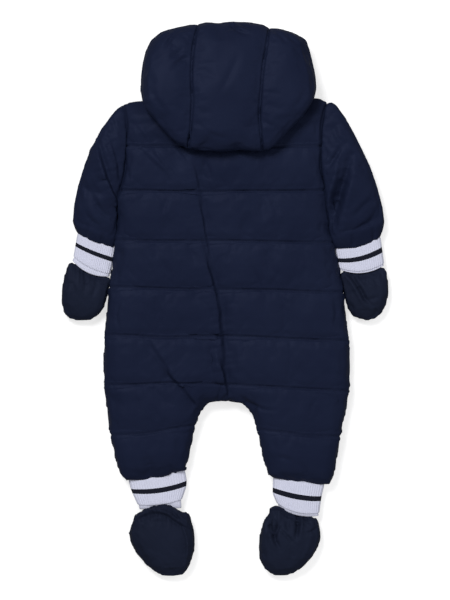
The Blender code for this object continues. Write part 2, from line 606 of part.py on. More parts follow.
def build():
    for thing in list(bpy.data.objects):
        bpy.data.objects.remove(thing, do_unlink=True)
    backPanel()
    for side in ("left", "right"):
        frontPanel(side)
    turns = [math.tau * k / 24 for k in range(24)]
    for side, sleeve, wrist, mitten, ankle, bootie in (
            ("left", sleeveLeft, wristLeft, mittenLeft, ankleLeft, bootieLeft),
            ("right", sleeveRight, wristRight, mittenRight, ankleRight, bootieRight)):
        clothTube("sleeve_" + side, sleeve, turns, "shell", sleeveWall, slitHeight,
                  underarm=underarmWall)
        cuff("cuff_wrist_" + side, wrist)
        cuff("cuff_ankle_" + side, ankle)
        padHalf("mitten_back_" + side, mitten, 1, "boot")
        padHalf("mitten_palm_" + side, mitten, -1, "boot")
        padHalf("bootie_sole_" + side, bootie, 1, "boot")
        padHalf("bootie_upper_" + side, bootie, -1, "boot")
    hoodPanels()
    hoodTrim()
    frontZip()
    zipSlider()
    zipPull()


build()
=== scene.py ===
import math
from collections import namedtuple

import bmesh
import bpy
import numpy as np
from mathutils import Matrix, Vector
from mathutils.bvhtree import BVHTree


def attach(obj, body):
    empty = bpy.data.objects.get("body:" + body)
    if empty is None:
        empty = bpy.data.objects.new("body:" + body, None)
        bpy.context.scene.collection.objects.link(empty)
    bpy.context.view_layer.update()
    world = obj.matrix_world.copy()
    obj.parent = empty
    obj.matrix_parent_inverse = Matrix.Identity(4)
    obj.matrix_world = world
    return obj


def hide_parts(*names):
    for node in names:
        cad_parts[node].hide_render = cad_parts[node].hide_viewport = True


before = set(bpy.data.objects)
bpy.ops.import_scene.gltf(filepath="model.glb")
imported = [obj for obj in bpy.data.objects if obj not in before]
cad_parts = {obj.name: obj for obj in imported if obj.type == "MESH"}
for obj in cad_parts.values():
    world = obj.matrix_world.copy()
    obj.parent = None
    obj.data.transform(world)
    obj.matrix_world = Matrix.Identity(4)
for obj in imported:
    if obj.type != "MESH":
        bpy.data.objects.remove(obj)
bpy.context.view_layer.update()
mm = 0.001
garment = "garment"     # the one body that all the cloth rides on

# camera, floor and light
view = {"height": 4.2, "tall": 0.780, "middle": (0.0, -0.0013), "sensor": 24.0, "aim": 0.018}
cameraData = bpy.data.cameras.new("camera")
cameraData.sensor_fit = "VERTICAL"
cameraData.sensor_height = view["sensor"]
cameraData.lens = view["sensor"] * (view["height"] - view["aim"]) / view["tall"]
cameraData.clip_end = 20
camera = bpy.data.objects.new("camera", cameraData)
camera.location = (*view["middle"], view["height"])     # straight above, the hood at the top
bpy.context.collection.objects.link(camera)
bpy.context.scene.camera = camera

studio = {"room": 0.30, "floor": "#b9b9ba", "glow": 0.62, "lamps": (
    # where it stands, what it shines on, width, height, watts
    ((-1.25, 2.1, 3.2), (0.0, 0.0, 0.0), 1.3, 1.3, 122.0),
    ((1.7, 0.6, 1.9), (0.0, 0.0, 0.0), 1.2, 1.6, 15.0),
    ((0.0, -1.15, 0.95), (0.0, -0.2, 0.0), 1.4, 0.7, 4.5))}


def hexLinear(code):
    return tuple((c / 12.92 if c <= 0.04045 else ((c + 0.055) / 1.055) ** 2.4)
                 for c in (int(code[i:i + 2], 16) / 255 for i in (1, 3, 5))) + (1.0,)


bpy.context.scene.view_settings.view_transform = "Standard"     # so the hex colours come out as they are
world = bpy.data.worlds.new("softRoom")
world.use_nodes = True
world.node_tree.nodes["Background"].inputs["Color"].default_value = hexLinear("#ffffff")
world.node_tree.nodes["Background"].inputs["Strength"].default_value = studio["room"]
bpy.context.scene.world = world
for place, target, wide, tall, watts in studio["lamps"]:
    lampData = bpy.data.lights.new("softbox", "AREA")
    lampData.shape = "RECTANGLE"
    lampData.size, lampData.size_y, lampData.energy = wide, tall, watts
    lamp = bpy.data.objects.new("softbox", lampData)
    lamp.location = place
    lamp.rotation_euler = (Vector(target) - Vector(place)).to_track_quat("-Z", "Y").to_euler()
    bpy.context.collection.objects.link(lamp)

# materials

def addNode(material, kind, inputs=None, links=None, **settings):
    node = material.node_tree.nodes.new(kind)
    for key, value in settings.items():
        setattr(node, key, value)
    for key, value in (inputs or {}).items():
        node.inputs[key].default_value = value
    for key, source in (links or {}).items():
        material.node_tree.links.new(source, node.inputs[key])
    return node


def newMaterial(name, **sockets):
    material = bpy.data.materials.new(name)
    material.use_nodes = True
    surface = material.node_tree.nodes["Principled BSDF"]
    for key, value in sockets.items():
        surface.inputs[key.replace("_", " ")].default_value = value
    return material, surface


def wovenShell(name, deep, pale, roughness, threadMm=1.1):
    # Plain-woven polyester over wadding: close threads with a low soft sheen, and faint
    # crinkles. The real threads, 0.2 mm apart, are drawn coarser so that they show.
    material, surface = newMaterial(name, Roughness=roughness, IOR=1.46, Specular_IOR_Level=0.07,
                                    Specular_Tint=hexLinear("#a3aed8"))
    spot = addNode(material, "ShaderNodeTexCoord").outputs["Object"]
    patches = addNode(material, "ShaderNodeTexNoise", {"Scale": 16.0, "Detail": 3.0}, {"Vector": spot})
    shade = addNode(material, "ShaderNodeMix", {6: hexLinear(deep), 7: hexLinear(pale)},
                    {0: patches.outputs["Fac"]}, data_type="RGBA")
    threads = [addNode(material, "ShaderNodeTexWave", {"Scale": 50.0 / threadMm, "Distortion": 0.4},
                       {"Vector": spot}, bands_direction=way) for way in "XY"]
    weave = addNode(material, "ShaderNodeMath", None,
                    {0: threads[0].outputs["Fac"], 1: threads[1].outputs["Fac"]}, operation="ADD")
    crinkles = addNode(material, "ShaderNodeTexNoise", {"Scale": 70.0, "Detail": 4.0, "Distortion": 0.8},
                       {"Vector": spot})
    fine = addNode(material, "ShaderNodeBump", {"Strength": 0.10, "Distance": 0.0002},
                   {"Height": weave.outputs["Value"]})
    soft = addNode(material, "ShaderNodeBump", {"Strength": 0.16, "Distance": 0.0015},
                   {"Height": crinkles.outputs["Fac"], "Normal": fine.outputs["Normal"]})
    material.node_tree.links.new(shade.outputs[2], surface.inputs["Base Color"])
    material.node_tree.links.new(soft.outputs["Normal"], surface.inputs["Normal"])
    return material


def knit(name, colour, roughness=0.88, loopMm=1.2, bump=0.4, sheen=0.2):
    # Cotton knit, matt and slightly fuzzy. Its loops, 0.6 mm apart, are drawn coarser.
    material, surface = newMaterial(name, Roughness=roughness, Specular_IOR_Level=0.12,
                                    Sheen_Weight=sheen, Sheen_Roughness=0.6)
    spot = addNode(material, "ShaderNodeTexCoord").outputs["Object"]
    loops = addNode(material, "ShaderNodeTexVoronoi", {"Scale": 1000.0 / loopMm}, {"Vector": spot})
    fuzz = addNode(material, "ShaderNodeTexNoise", {"Scale": 260.0, "Detail": 3.0}, {"Vector": spot})
    tone = addNode(material, "ShaderNodeMix", {6: tuple(c * 0.9 for c in hexLinear(colour)[:3]) + (1.0,),
                   7: hexLinear(colour)}, {0: fuzz.outputs["Fac"]}, data_type="RGBA")
    raised = addNode(material, "ShaderNodeBump", {"Strength": bump, "Distance": 0.0003},
                     {"Height": loops.outputs["Distance"]})
    material.node_tree.links.new(tone.outputs[2], surface.inputs["Base Color"])
    material.node_tree.links.new(raised.outputs["Normal"], surface.inputs["Normal"])
    return material


shellCloth = wovenShell("wovenPolyesterShell", "#12172a", "#191f33", 0.5)
bootieCloth = wovenShell("wovenPolyesterBooties", "#131724", "#1a1f2f", 0.55)
whiteRib = knit("whiteCottonRib", "#c6c8da", sheen=0.05)
navyRib = knit("navyCottonRib", "#121521", sheen=0.01)
whiteTrim = knit("whiteBrushedCotton", "#f3f3f7")
sewingThread = knit("spunPolyesterThread", "#0e111c", 0.7, 0.5, sheen=0.0)     # dull, tightly spun thread
zipCloth = knit("wovenZipTape", "#161b2a", 0.75, 0.9, sheen=0.02)
zipCoil, _ = newMaterial("mouldedNylonCoil", Base_Color=hexLinear("#141927"), Roughness=0.38, IOR=1.53)
zipMetal, zipSurface = newMaterial("dieCastZinc", Base_Color=hexLinear("#a3a6ab"), Metallic=1.0)
# die-cast zinc with a satin finish: grey metal, its gloss uneven from handling
wear = addNode(zipMetal, "ShaderNodeTexNoise", {"Scale": 420.0, "Detail": 3.0},
               {"Vector": addNode(zipMetal, "ShaderNodeTexCoord").outputs["Object"]})
satin = addNode(zipMetal, "ShaderNodeMapRange", {"To Min": 0.26, "To Max": 0.42},
                {"Value": wear.outputs["Fac"]})
zipMetal.node_tree.links.new(satin.outputs["Result"], zipSurface.inputs["Roughness"])
# translucent paper over a weak light, so that the floor stays pale beside the cloth
floorPaper, _ = newMaterial("paperFloor", Base_Color=hexLinear(studio["floor"]), Roughness=0.95,
                            Emission_Color=hexLinear("#ffffff"), Emission_Strength=studio["glow"])

bm = bmesh.new()
bmesh.ops.create_grid(bm, x_segments=2, y_segments=2, size=3.0)
floorMesh = bpy.data.meshes.new("floor")
bm.to_mesh(floorMesh)
bm.free()
floorMesh.materials.append(floorPaper)
floor = bpy.data.objects.new("floor", floorMesh)
bpy.context.collection.objects.link(floor)
floor.visible_diffuse = floor.visible_glossy = False     # its white doesn't rim the dark cloth
print("camera, floor, light and materials ready")

# ways of shaping cloth
pixelMm = 1.3                   # what a pixel of the photograph measures on the suit
photoMiddle = (225.0, 299.0)    # where on it the middle of the suit lies
Crease = namedtuple("Crease", "depth width lean points")


def seenAt(*places):
    # places read off the photograph, in pixels across and down, as millimetres from the middle
    return tuple((round((across - photoMiddle[0]) * pixelMm, 1),
                  round((photoMiddle[1] - down) * pixelMm, 1))
                 for across, down in places)


def creasesOf(*rows):
    # a row has depth, width and lean, and then the places that the crease runs through
    return [Crease(*row[:3], seenAt(*row[3:])) for row in rows]


def smooth(t):
    t = np.clip(t, 0.0, 1.0)
    return t * t * (3 - 2 * t)


def lerp(a, b, t):
    return a + (b - a) * t


def curveAt(points, at):
    # a smooth curve through a table's points, read at any x
    keys, values = np.array(points, float).T
    at = np.asarray(at, float)
    slope = np.gradient(values, keys)
    i = np.clip(np.searchsorted(keys, at) - 1, 0, len(keys) - 2)
    span = keys[i + 1] - keys[i]
    t = np.clip((at - keys[i]) / span, 0.0, 1.0)
    return ((2 * t**3 - 3 * t**2 + 1) * values[i] + (t**3 - 2 * t**2 + t) * span * slope[i]
            + (3 * t**2 - 2 * t**3) * values[i + 1] + (t**3 - t**2) * span * slope[i + 1])


def unevenWave(along, seed, longest=26.0):
    # small waves of several lengths, the same at each run
    rng = np.random.default_rng(seed)
    along = np.asarray(along, float)
    total = np.zeros_like(along)
    for k in range(7):
        length = longest / (1.0 + 0.55 * k) * rng.uniform(0.85, 1.15)
        total += np.sin(along * math.tau / length + rng.uniform(0, math.tau)) / (1 + 0.3 * k)
    return total / 2.6


def nearest(x, y, points):
    # distance to a line through points, the side it is on, and the share of the way along
    points = np.array(points, float)
    best = np.full_like(x, 1e9)
    side, share = np.zeros_like(x), np.zeros_like(x)
    lengths = np.hypot(*np.diff(points, axis=0).T)
    done = np.concatenate([[0.0], np.cumsum(lengths)])
    for k, (ax, ay) in enumerate(points[:-1]):
        dx, dy = points[k + 1] - points[k]
        t = np.clip(((x - ax) * dx + (y - ay) * dy) / (dx * dx + dy * dy), 0.0, 1.0)
        offX, offY = x - ax - dx * t, y - ay - dy * t
        away = np.hypot(offX, offY)
        closer = away < best
        best = np.where(closer, away, best)
        side = np.where(closer, np.sign(dx * offY - dy * offX), side)
        share = np.where(closer, (done[k] + lengths[k] * t) / done[-1], share)
    return best, side, share


def rounded(points, steps=6):
    # the same points with softened corners
    points = np.array(points, float)
    if len(points) < 3:
        return points
    along = np.concatenate([[0.0], np.cumsum(np.hypot(*np.diff(points, axis=0).T))])
    at = np.linspace(0.0, along[-1], steps * (len(points) - 1) + 1)
    return np.column_stack([curveAt(np.column_stack([along, points[:, k]]), at) for k in (0, 1)])


def creaseRelief(x, y, creases):
    # each crease is a soft trough that dies out at its ends, with a ridge along one side
    relief = np.zeros_like(x)
    for crease in creases:
        away, side, share = nearest(x, y, rounded(crease.points))
        taper = np.sin(np.pi * np.clip(share, 0.02, 0.98)) ** 0.6
        uneven = 1 + 0.25 * unevenWave(share * 90, int(crease.points[0][0] * 7) % 97)
        trough = np.exp(-(away / crease.width) ** 2)
        ridge = np.exp(-((away - 2.0 * crease.width) / (1.2 * crease.width)) ** 2)
        lean = np.where(side * crease.lean > 0, abs(crease.lean), 0.2)
        relief += crease.depth * taper * uneven * (0.5 * lean * ridge - trough)
    return relief


foldRise = 0.65         # share of a fold's depth that stands above the cloth round it


def foldRelief(x, y, folds, tail=15.0):
    # cloth folded over itself: it steps down across the line and rises slowly again beside it
    relief = np.zeros_like(x)
    for fold in folds:
        away, side, share = nearest(x, y, rounded(fold.points))
        across = away * side * fold.lean
        taper = np.sin(np.pi * np.clip(share, 0.03, 0.97)) ** 0.7
        taper = taper * (1 + 0.2 * unevenWave(share * 80, int(fold.points[0][1] * 5) % 89))
        fall = foldRise - smooth((across + fold.width / 2) / fold.width)
        fade = np.exp(-np.maximum(np.abs(across) - fold.width / 2, 0.0) / tail)
        relief += fold.depth * taper * fall * fade
    return relief


def seamRelief(x, y, points, depth, width, puckers, seed):
    # a sewn line: a narrow groove with small puckers that die out beside it
    away, side, share = nearest(x, y, points)
    ends = smooth(np.minimum(share, 1 - share) * 40)
    along = share * float(np.sum(np.hypot(*np.diff(np.array(points, float), axis=0).T)))
    deep = 1 + 0.1 * unevenWave(along, seed, 60.0)
    gathers = unevenWave(along + side * 3, seed + 1, 17.0) * np.exp(-away / 6.0)
    gathers = gathers * (1 - np.exp(-(away / 2.0) ** 2))
    return ends * (puckers * gathers - depth * deep * np.exp(-(away / width) ** 2))


def newPiece(name, bm, materials):
    for face in bm.faces:
        face.smooth = True
    mesh = bpy.data.meshes.new(name)
    bm.to_mesh(mesh)
    bm.free()
    for material in materials:
        mesh.materials.append(material)
    piece = bpy.data.objects.new(name, mesh)
    bpy.context.collection.objects.link(piece)
    return piece


def applyModifiers(piece):
    ready = piece.evaluated_get(bpy.context.evaluated_depsgraph_get())
    shaped, old = bpy.data.meshes.new_from_object(ready), piece.data
    piece.modifiers.clear()
    piece.data = shaped
    bpy.data.meshes.remove(old)


def spots(mesh, what="co"):
    values = np.empty(len(mesh.vertices) * 3)
    if what == "co":
        mesh.vertices.foreach_get("co", values)
        return values.reshape(-1, 3) / mm
    mesh.vertex_normals.foreach_get("vector", values)
    return values.reshape(-1, 3)


def setSpots(mesh, points):
    mesh.vertices.foreach_set("co", (points * mm).ravel())
    mesh.update()


blowingFrames = 20      # by then the padding has come to rest


def wadded(name, node, cloth, held, material):
    # wadding between two layers: the solid's form, evened out and blown up by the cloth solver
    # between the places where it is sewn or lies on something
    bm = bmesh.new()
    bm.from_mesh(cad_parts[node].data)
    bmesh.ops.remove_doubles(bm, verts=bm.verts[:], dist=0.00001)
    piece = newPiece(name, bm, [])
    even = piece.modifiers.new("even", "REMESH")
    even.mode, even.voxel_size, even.use_smooth_shade = "VOXEL", cloth["voxel"] * mm, True
    applyModifiers(piece)
    easing = piece.modifiers.new("easing", "SMOOTH")
    easing.factor, easing.iterations = 0.5, cloth.get("ease", 3)
    applyModifiers(piece)
    start = spots(piece.data)
    normals = spots(piece.data, "normal")
    hold = np.clip(held(start, normals), 0.0, 1.0)
    start = start - normals * ((1 - hold) * cloth["slack"])[:, None]
    setSpots(piece.data, start)
    group = piece.vertex_groups.new(name="held")
    for level in range(11):
        group.add([int(i) for i in np.nonzero(np.round(hold * 10) == level)[0]], level / 10, "REPLACE")
    solver = piece.modifiers.new("padding", "CLOTH")
    solver.settings.quality = 4
    solver.settings.mass = 0.15
    solver.settings.tension_stiffness = solver.settings.compression_stiffness = 20
    solver.settings.shear_stiffness = 8
    solver.settings.bending_stiffness = cloth.get("stiff", 0.3)
    solver.settings.use_pressure = True
    solver.settings.uniform_pressure_force = cloth["pressure"]
    solver.settings.shrink_min = -cloth["extra"]     # more cloth than the form needs, so it wrinkles
    solver.settings.effector_weights.gravity = 0
    solver.settings.vertex_group_mass = "held"
    solver.collision_settings.use_collision = False
    solver.point_cache.frame_end = blowingFrames
    for step in range(1, blowingFrames + 1):
        bpy.context.scene.frame_set(step)
    blown = piece.evaluated_get(bpy.context.evaluated_depsgraph_get()).to_mesh()
    moved = spots(blown) - start
    piece.modifiers.clear()
    reach = np.linalg.norm(moved, axis=1)
    keep = np.minimum(reach, cloth["cap"]) / np.maximum(reach, 1e-6)
    setSpots(piece.data, start + moved * keep[:, None])
    piece.vertex_groups.clear()
    bpy.context.scene.frame_set(1)
    finer = piece.modifiers.new("finer", "SUBSURF")
    finer.levels = finer.render_levels = 1
    applyModifiers(piece)
    points = spots(piece.data)
    points[:, :2] += spots(piece.data, "normal")[:, :2] * cloth["outset"]     # back out to its seams
    setSpots(piece.data, points)
    piece.data.materials.clear()
    piece.data.materials.append(material)
    return piece


evening = (0.1, 0.25, 0.3, 0.25, 0.1)       # how neighbouring stretches of an edge share their gaps


def drawnTo(points, line, side, bins=24, reach=9.0, past=0.0, furthest=4.5):
    # brings a piece's edge onto a seam or outline; side is 1 where the piece lies on the
    # left hand of the line, and past is how far the edge then tucks under its neighbour
    line = np.array(line, float)
    away, sign, share = nearest(points[:, 0], points[:, 1], line)
    signed = away * sign * side
    near = (signed > -furthest) & (signed < reach) & (share > 0.001) & (share < 0.999)
    place = np.clip((share * bins).astype(int), 0, bins - 1)
    inBins = [signed[near & (place == k)] for k in range(bins)]
    gaps = np.array([np.percentile(inBin, 2) if len(inBin) > 8 else np.nan for inBin in inBins])
    known = ~np.isnan(gaps)
    if not known.any():
        return points
    gaps = np.interp(np.arange(bins), np.arange(bins)[known], gaps[known])
    for step in range(2):
        gaps = np.convolve(np.pad(gaps, 2, "edge"), evening, "valid")
    gap = np.interp(share * bins - 0.5, np.arange(bins), gaps)
    # the way to the line, from how the distance changes
    right = nearest(points[:, 0] + 0.05, points[:, 1], line)
    above = nearest(points[:, 0], points[:, 1] + 0.05, line)
    slopeX = (right[0] * right[1] * side - signed) / 0.05
    slopeY = (above[0] * above[1] * side - signed) / 0.05
    size = np.maximum(np.hypot(slopeX, slopeY), 0.5)
    fade = np.exp(-(np.maximum(signed - gap, 0.0) / (reach * 0.6)) ** 2)
    push = (np.clip(gap, -furthest, furthest) + past) * fade
    push = np.where((signed > -furthest - 3.0) & (signed < reach * 2), push, 0.0)
    points = points.copy()
    points[:, 0] -= slopeX / size * push
    points[:, 1] -= slopeY / size * push
    return points


def pulled(points, pulls):
    # a maker's tugs: each moves the cloth round one place, less and less farther out
    for place, reach, move in pulls:
        x, y = seenAt(place)[0]
        near = np.exp(-((points[:, 0] - x) ** 2 + (points[:, 1] - y) ** 2) / reach ** 2)
        points = points + near[:, None] * np.array(move, float)
    return points


def sculpt(piece, relief, facing=1.0, least=None):
    # moves the outside of a piece along its normals by millimetres
    points, normals = spots(piece.data), spots(piece.data, "normal")
    outside = smooth((normals[:, 2] * facing - 0.05) / 0.4)
    points = points + normals * (relief(points) * outside)[:, None]
    if least is not None:
        points[:, 2] = np.maximum(points[:, 2], least)
    setSpots(piece.data, points)

# back and fronts
quilting = {            # sewn through back and fronts alike, left to right
    "yoke": seenAt((121, 146.2), (150, 146.7), (176, 146.4), (230, 147.4), (275, 147.2), (300, 146.6),
                   (327, 146.5)),
    "shoulderBlade": seenAt((116, 190.6), (145, 190.8), (178, 191.8), (215, 191.9), (250, 191.2),
                            (290, 191.4), (328, 190.4)),
    "waist": seenAt((72, 239.6), (115, 240.2), (160, 241.2), (210, 240.8), (260, 241.6), (320, 242.8),
                    (380, 242.6)),
    "hip": seenAt((102, 286.6), (140, 287.6), (180, 289.4), (230, 289.6), (280, 290.2), (320, 292.2),
                  (352, 292.0)),
    "seat": seenAt((98, 334.6), (130, 335.4), (163, 337.8), (214, 335.6), (255, 336.8), (300, 339.2),
                   (352, 340.6)),
    "thigh": seenAt((98, 384.8), (135, 384.4), (168, 382.7), (214, 383.3), (254, 385.6), (300, 388.2),
                    (352, 391.2)),
    "kneeLeft": seenAt((108, 435.0), (128, 434.2), (146, 433.3), (168, 428.9), (196, 424.2)),
    "kneeRight": seenAt((258, 428.8), (272, 430.6), (286, 432.2), (303, 435.0), (345, 435.8))}
armholes = {
    "left": seenAt((123.0, 104), (126.2, 120), (127.5, 140), (126.4, 160), (123.6, 180), (119.8, 193),
                   (116.6, 200.5)),
    "right": seenAt((326.2, 104), (322.0, 122), (320.6, 145), (320.4, 163), (322.5, 180), (325.6, 198),
                    (328.3, 222))}

sides = {               # the body's outline: down each side, and round between the legs
    "left": ((-141.2, 132.0), (-141.0, 113.1), (-142.6, 80.6), (-146.3, 57.2), (-148.6, 28.6),
             (-152.1, 1.3),
             (-155.3, -33.8), (-157.3, -61.1), (-158.3, -87.1), (-156.8, -113.1), (-155.0, -133.9),
             (-152.8, -150.8), (-151.1, -163.8), (-148.9, -176.5), (-146.9, -187.2), (-144.0, -204.1),
             (-139.6, -218.4), (-135.4, -228.8), (-129.5, -236.0)),
    "right": ((134.4, 106.0), (137.4, 80.6), (145.6, 61.1), (150.8, 36.4), (153.0, 16.9), (155.7, -9.1),
              (159.6, -40.3), (161.8, -61.1), (162.8, -92.3), (161.5, -113.1), (159.4, -133.9),
              (156.3, -150.8), (152.6, -165.1), (150.2, -178.1), (148.4, -189.8), (145.8, -206.7),
              (142.8, -223.6), (139.6, -233.5), (136.0, -241.5)),
    "between": seenAt((182, 474), (185, 466), (189, 458), (191, 450), (192, 442), (193, 434), (195, 426),
                      (198, 418), (201, 411), (207, 405), (214, 402), (224, 400), (234, 402), (243, 405),
                      (250, 411), (254, 418), (256, 426), (258, 434), (260, 442), (261, 450), (263, 458),
                      (265, 466), (269, 475))}

hems = {
    "left": seenAt((126, 479.5), (130, 481.2), (138, 480.8), (150, 479.4), (166.7, 477.3), (178.3, 474.7),
                   (184, 469)),
    "right": seenAt((272.5, 475.5), (277, 480), (283.3, 481), (303.3, 482.7), (326.7, 485.4), (331, 482))}

backCloth = {"voxel": 3.75, "ease": 3, "slack": 1.6, "pressure": 4.0, "extra": 0.013, "cap": 4.0,
             "stiff": 0.4, "outset": 1.3}
backSewing = {"depth": 2.6, "width": 1.8, "puckers": 0.5, "edgeDepth": 2.0, "filling": 3.2,
              "fillWidth": 15.0}
backFolds = creasesOf(
    (3.4, 4.0, 1.0, (193, 160), (196, 174), (199, 188), (204, 206)),
    (4.6, 4.4, 1.0, (197, 194), (202, 214), (206, 236), (209, 252), (214, 272)),
    (8.0, 6.8, 1.0, (204, 250), (210, 272), (216, 292), (220, 312), (223, 338)),
    (7.4, 7.8, 1.0, (216, 310), (221, 330), (223, 346), (224, 366), (226, 388)),
    (6.4, 4.2, 1.0, (218, 348), (220, 363), (224, 378), (227, 388), (229, 398)),
    (3.4, 5.0, -1.0, (148, 340), (160, 356), (170, 371), (180, 384)),
    (6.0, 5.0, -1.0, (160, 364), (174, 379), (186, 392), (199, 408)),
    (2.6, 4.0, -1.0, (134, 142), (150, 158), (170, 175)))
backCreases = creasesOf(
    (1.6, 2.0, 0.7, (222, 380), (220.5, 390), (216, 401)),
    (1.5, 2.2, -0.8, (152, 148), (164, 163), (176, 178)),
    (1.4, 2.2, -0.8, (174, 144), (181, 152), (189, 161)),
    (1.3, 2.4, 0.8, (136, 126), (141, 134), (147, 143)),
    (1.0, 2.6, -0.8, (203, 160), (208, 169), (212, 182)),
    (0.9, 3.0, 0.6, (248, 262), (256, 276), (262, 294)),
    (0.9, 3.4, -0.6, (140, 250), (150, 268), (156, 284)),
    (0.8, 3.0, 0.6, (300, 252), (306, 262), (304, 276)),
    (1.8, 2.4, 0.8, (241, 396), (252, 404), (264, 409), (274, 410)),
    (1.3, 2.6, 0.8, (276, 457), (284, 457.5), (293, 461)),
    (2.4, 6.0, 0.3, (145, 455), (149, 464), (152, 476)),
    (1.2, 3.0, 0.5, (168, 462), (172, 470), (172, 478)),
    (1.3, 3.4, 0.5, (300, 462), (305, 472), (303, 482)),
    (1.0, 3.2, 0.5, (131, 390), (138, 402), (140, 416)),
    (1.0, 3.2, -0.5, (318, 396), (311, 408), (310, 422)),
    (1.1, 2.4, 0.6, (121, 300), (117, 316), (120, 330)),
    (1.0, 2.6, -0.6, (332, 296), (336, 312), (333, 328)),
    (0.9, 3.0, 0.5, (170, 196), (164, 210), (166, 226)),
    (0.9, 3.0, -0.5, (270, 196), (276, 212), (274, 230)))


def linesNear(points, names, width):
    near = np.zeros(len(points))
    for name in names:
        line = quilting[name]
        inside = (points[:, 0] > line[0][0] - 4) & (points[:, 0] < line[-1][0] + 4)
        away = np.abs(points[:, 1] - curveAt(line, points[:, 0]))
        near = np.maximum(near, np.where(inside, np.exp(-(away / width) ** 2), 0.0))
    return near


def armholeNear(points, width):
    return np.max([np.exp(-(nearest(points[:, 0], points[:, 1], line)[0] / width) ** 2)
                   for line in armholes.values()], axis=0)


def backHeld(points, normals):
    flat = smooth((17.5 - points[:, 2]) / 3.0)
    neck = smooth((points[:, 1] - 226.0) / 12.0)
    return np.maximum.reduce([flat, neck, 1.3 * linesNear(points, quilting, 3.2),
                              1.2 * armholeNear(points, 4.0)])


def backRelief(points):
    x, y = points[:, 0], points[:, 1]
    total = creaseRelief(x, y, backCreases) + foldRelief(x, y, backFolds)
    total += backSewing["filling"] * linesNear(points, quilting, backSewing["fillWidth"])
    for seed, line in enumerate(quilting.values()):
        sewn = np.column_stack([np.linspace(line[0][0], line[-1][0], 40)] * 2)
        sewn[:, 1] = curveAt(line, sewn[:, 0])
        total += seamRelief(x, y, sewn, backSewing["depth"], backSewing["width"],
                            backSewing["puckers"], 11 + 5 * seed)
    for seed, line in enumerate(armholes.values()):
        total += seamRelief(x, y, rounded(line), backSewing["edgeDepth"], 1.6, 0.5, 71 + seed)
    return total + 0.35 * unevenWave(x * 0.8 + y * 0.5, 5, 60.0) * unevenWave(y - 0.3 * x, 6, 70.0)


back = wadded("backPanel", "back_panel", backCloth, backHeld, shellCloth)


def bodyFitted(points, parts=("left", "right", "between")):
    # the cloth's edges drawn out to the outline and to the armhole seams
    for part in parts:
        points = drawnTo(points, sides[part], -1 if part == "right" else 1, 50, 9.0)
    for part, side in (("left", 1), ("right", -1)):
        if part in parts:
            points = drawnTo(points, armholes[part], side, 14, 8.0, 1.2)
            points = drawnTo(points, hems[part], 1, 12, 8.0)
    return points


sculpt(back, backRelief, 1.0, 14.2)
setSpots(back.data, bodyFitted(spots(back.data)))
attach(back, garment)
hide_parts("back_panel")
print("back panel shaped")

frontCloth = {"voxel": 5.0, "ease": 2, "slack": 0.6, "pressure": 3.0, "extra": 0.015, "cap": 2.0,
              "outset": 1.4}
frontSeam = ((3.0, -88.0), (3.0, -131.8))      # below the zip the fronts meet
frontSewing = {"depth": 1.4, "width": 2.0, "puckers": 0.5}


def frontHeld(points, normals):
    flat = np.maximum(smooth((points[:, 2] - 11.5) / 2.0), smooth((0.9 - points[:, 2]) / 0.8))
    return np.maximum.reduce([flat, 1.2 * linesNear(points, quilting, 3.6), 1.2 * armholeNear(points, 4.0)])


def frontRelief(points):
    x, y = points[:, 0], points[:, 1]
    total = np.zeros_like(x)
    for seed, line in enumerate(quilting.values()):
        total += seamRelief(x, y, rounded(line, 3), frontSewing["depth"], frontSewing["width"],
                            frontSewing["puckers"], 31 + 5 * seed)
    return total


for side in ("left", "right"):
    front = wadded("frontPanel" + side.title(), "front_panel_" + side, frontCloth, frontHeld, shellCloth)
    sculpt(front, frontRelief, -1.0, 0.0)
    points = bodyFitted(spots(front.data), (side, "between"))
    setSpots(front.data, drawnTo(points, frontSeam, -1 if side == "left" else 1, 8, 7.0, 1.2))
    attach(front, garment)
    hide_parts("front_panel_" + side)
print("front panels shaped")

# sleeves
sleeveCloth = {"voxel": 3.4, "ease": 3, "slack": 1.0, "pressure": 3.5, "extra": 0.02, "cap": 3.5,
               "stiff": 0.4, "outset": 1.1}
sleeveCreases = {
    "left": creasesOf(
        (2.0, 3.2, -0.7, (106, 142), (112, 154), (117, 166), (119, 180)),
        (2.6, 3.6, 0.7, (92, 196), (99, 208), (108, 216), (116, 222)),
        (1.6, 3.4, 0.7, (84, 212), (93, 222), (103, 228)),
        (1.2, 3.0, -0.6, (108, 112), (113, 122), (115, 134)),
        (1.2, 3.6, -0.6, (92, 134), (96, 146), (97, 160)),
        (1.6, 2.2, 0.5, (88, 226), (86, 234), (87, 240)),
        (1.6, 2.2, 0.5, (104, 233), (102, 241), (104, 248))),
    "right": creasesOf(
        (7.5, 5.5, 0.4, (350, 156), (346, 174), (341, 190), (337, 204), (333, 224)),
        (5.0, 7.0, 0.2, (341, 178), (336, 194), (332, 208), (330, 228)),
        (2.6, 3.0, 0.7, (328, 168), (334, 158), (341, 148)),
        (1.4, 3.2, 0.7, (333, 126), (337, 138), (346, 146)),
        (1.6, 3.6, -0.7, (372, 198), (362, 208), (352, 218)),
        (1.4, 3.4, -0.7, (378, 216), (366, 224), (355, 230)),
        (1.6, 2.2, 0.5, (372, 228), (374, 236), (373, 242)),
        (1.6, 2.2, 0.5, (352, 234), (353, 242), (352, 248)))}
shoulderTugs = {"left": [((117, 107), 10.0, (0.0, 2.2, 0.0))],
                "right": [((332, 108), 11.0, (0.0, 3.6, 0.0))]}
sleeveFolds = {
    "left": creasesOf(
        (10.0, 5.0, 1.0, (97, 140), (102, 160), (107, 177), (112, 190), (119, 208)),
        (4.0, 4.4, 1.0, (109, 138), (114, 152), (118, 166), (119, 184))),
    "right": creasesOf(
        (6.0, 5.0, 1.0, (340, 160), (336, 180), (331, 198), (328, 214), (328, 232)))}
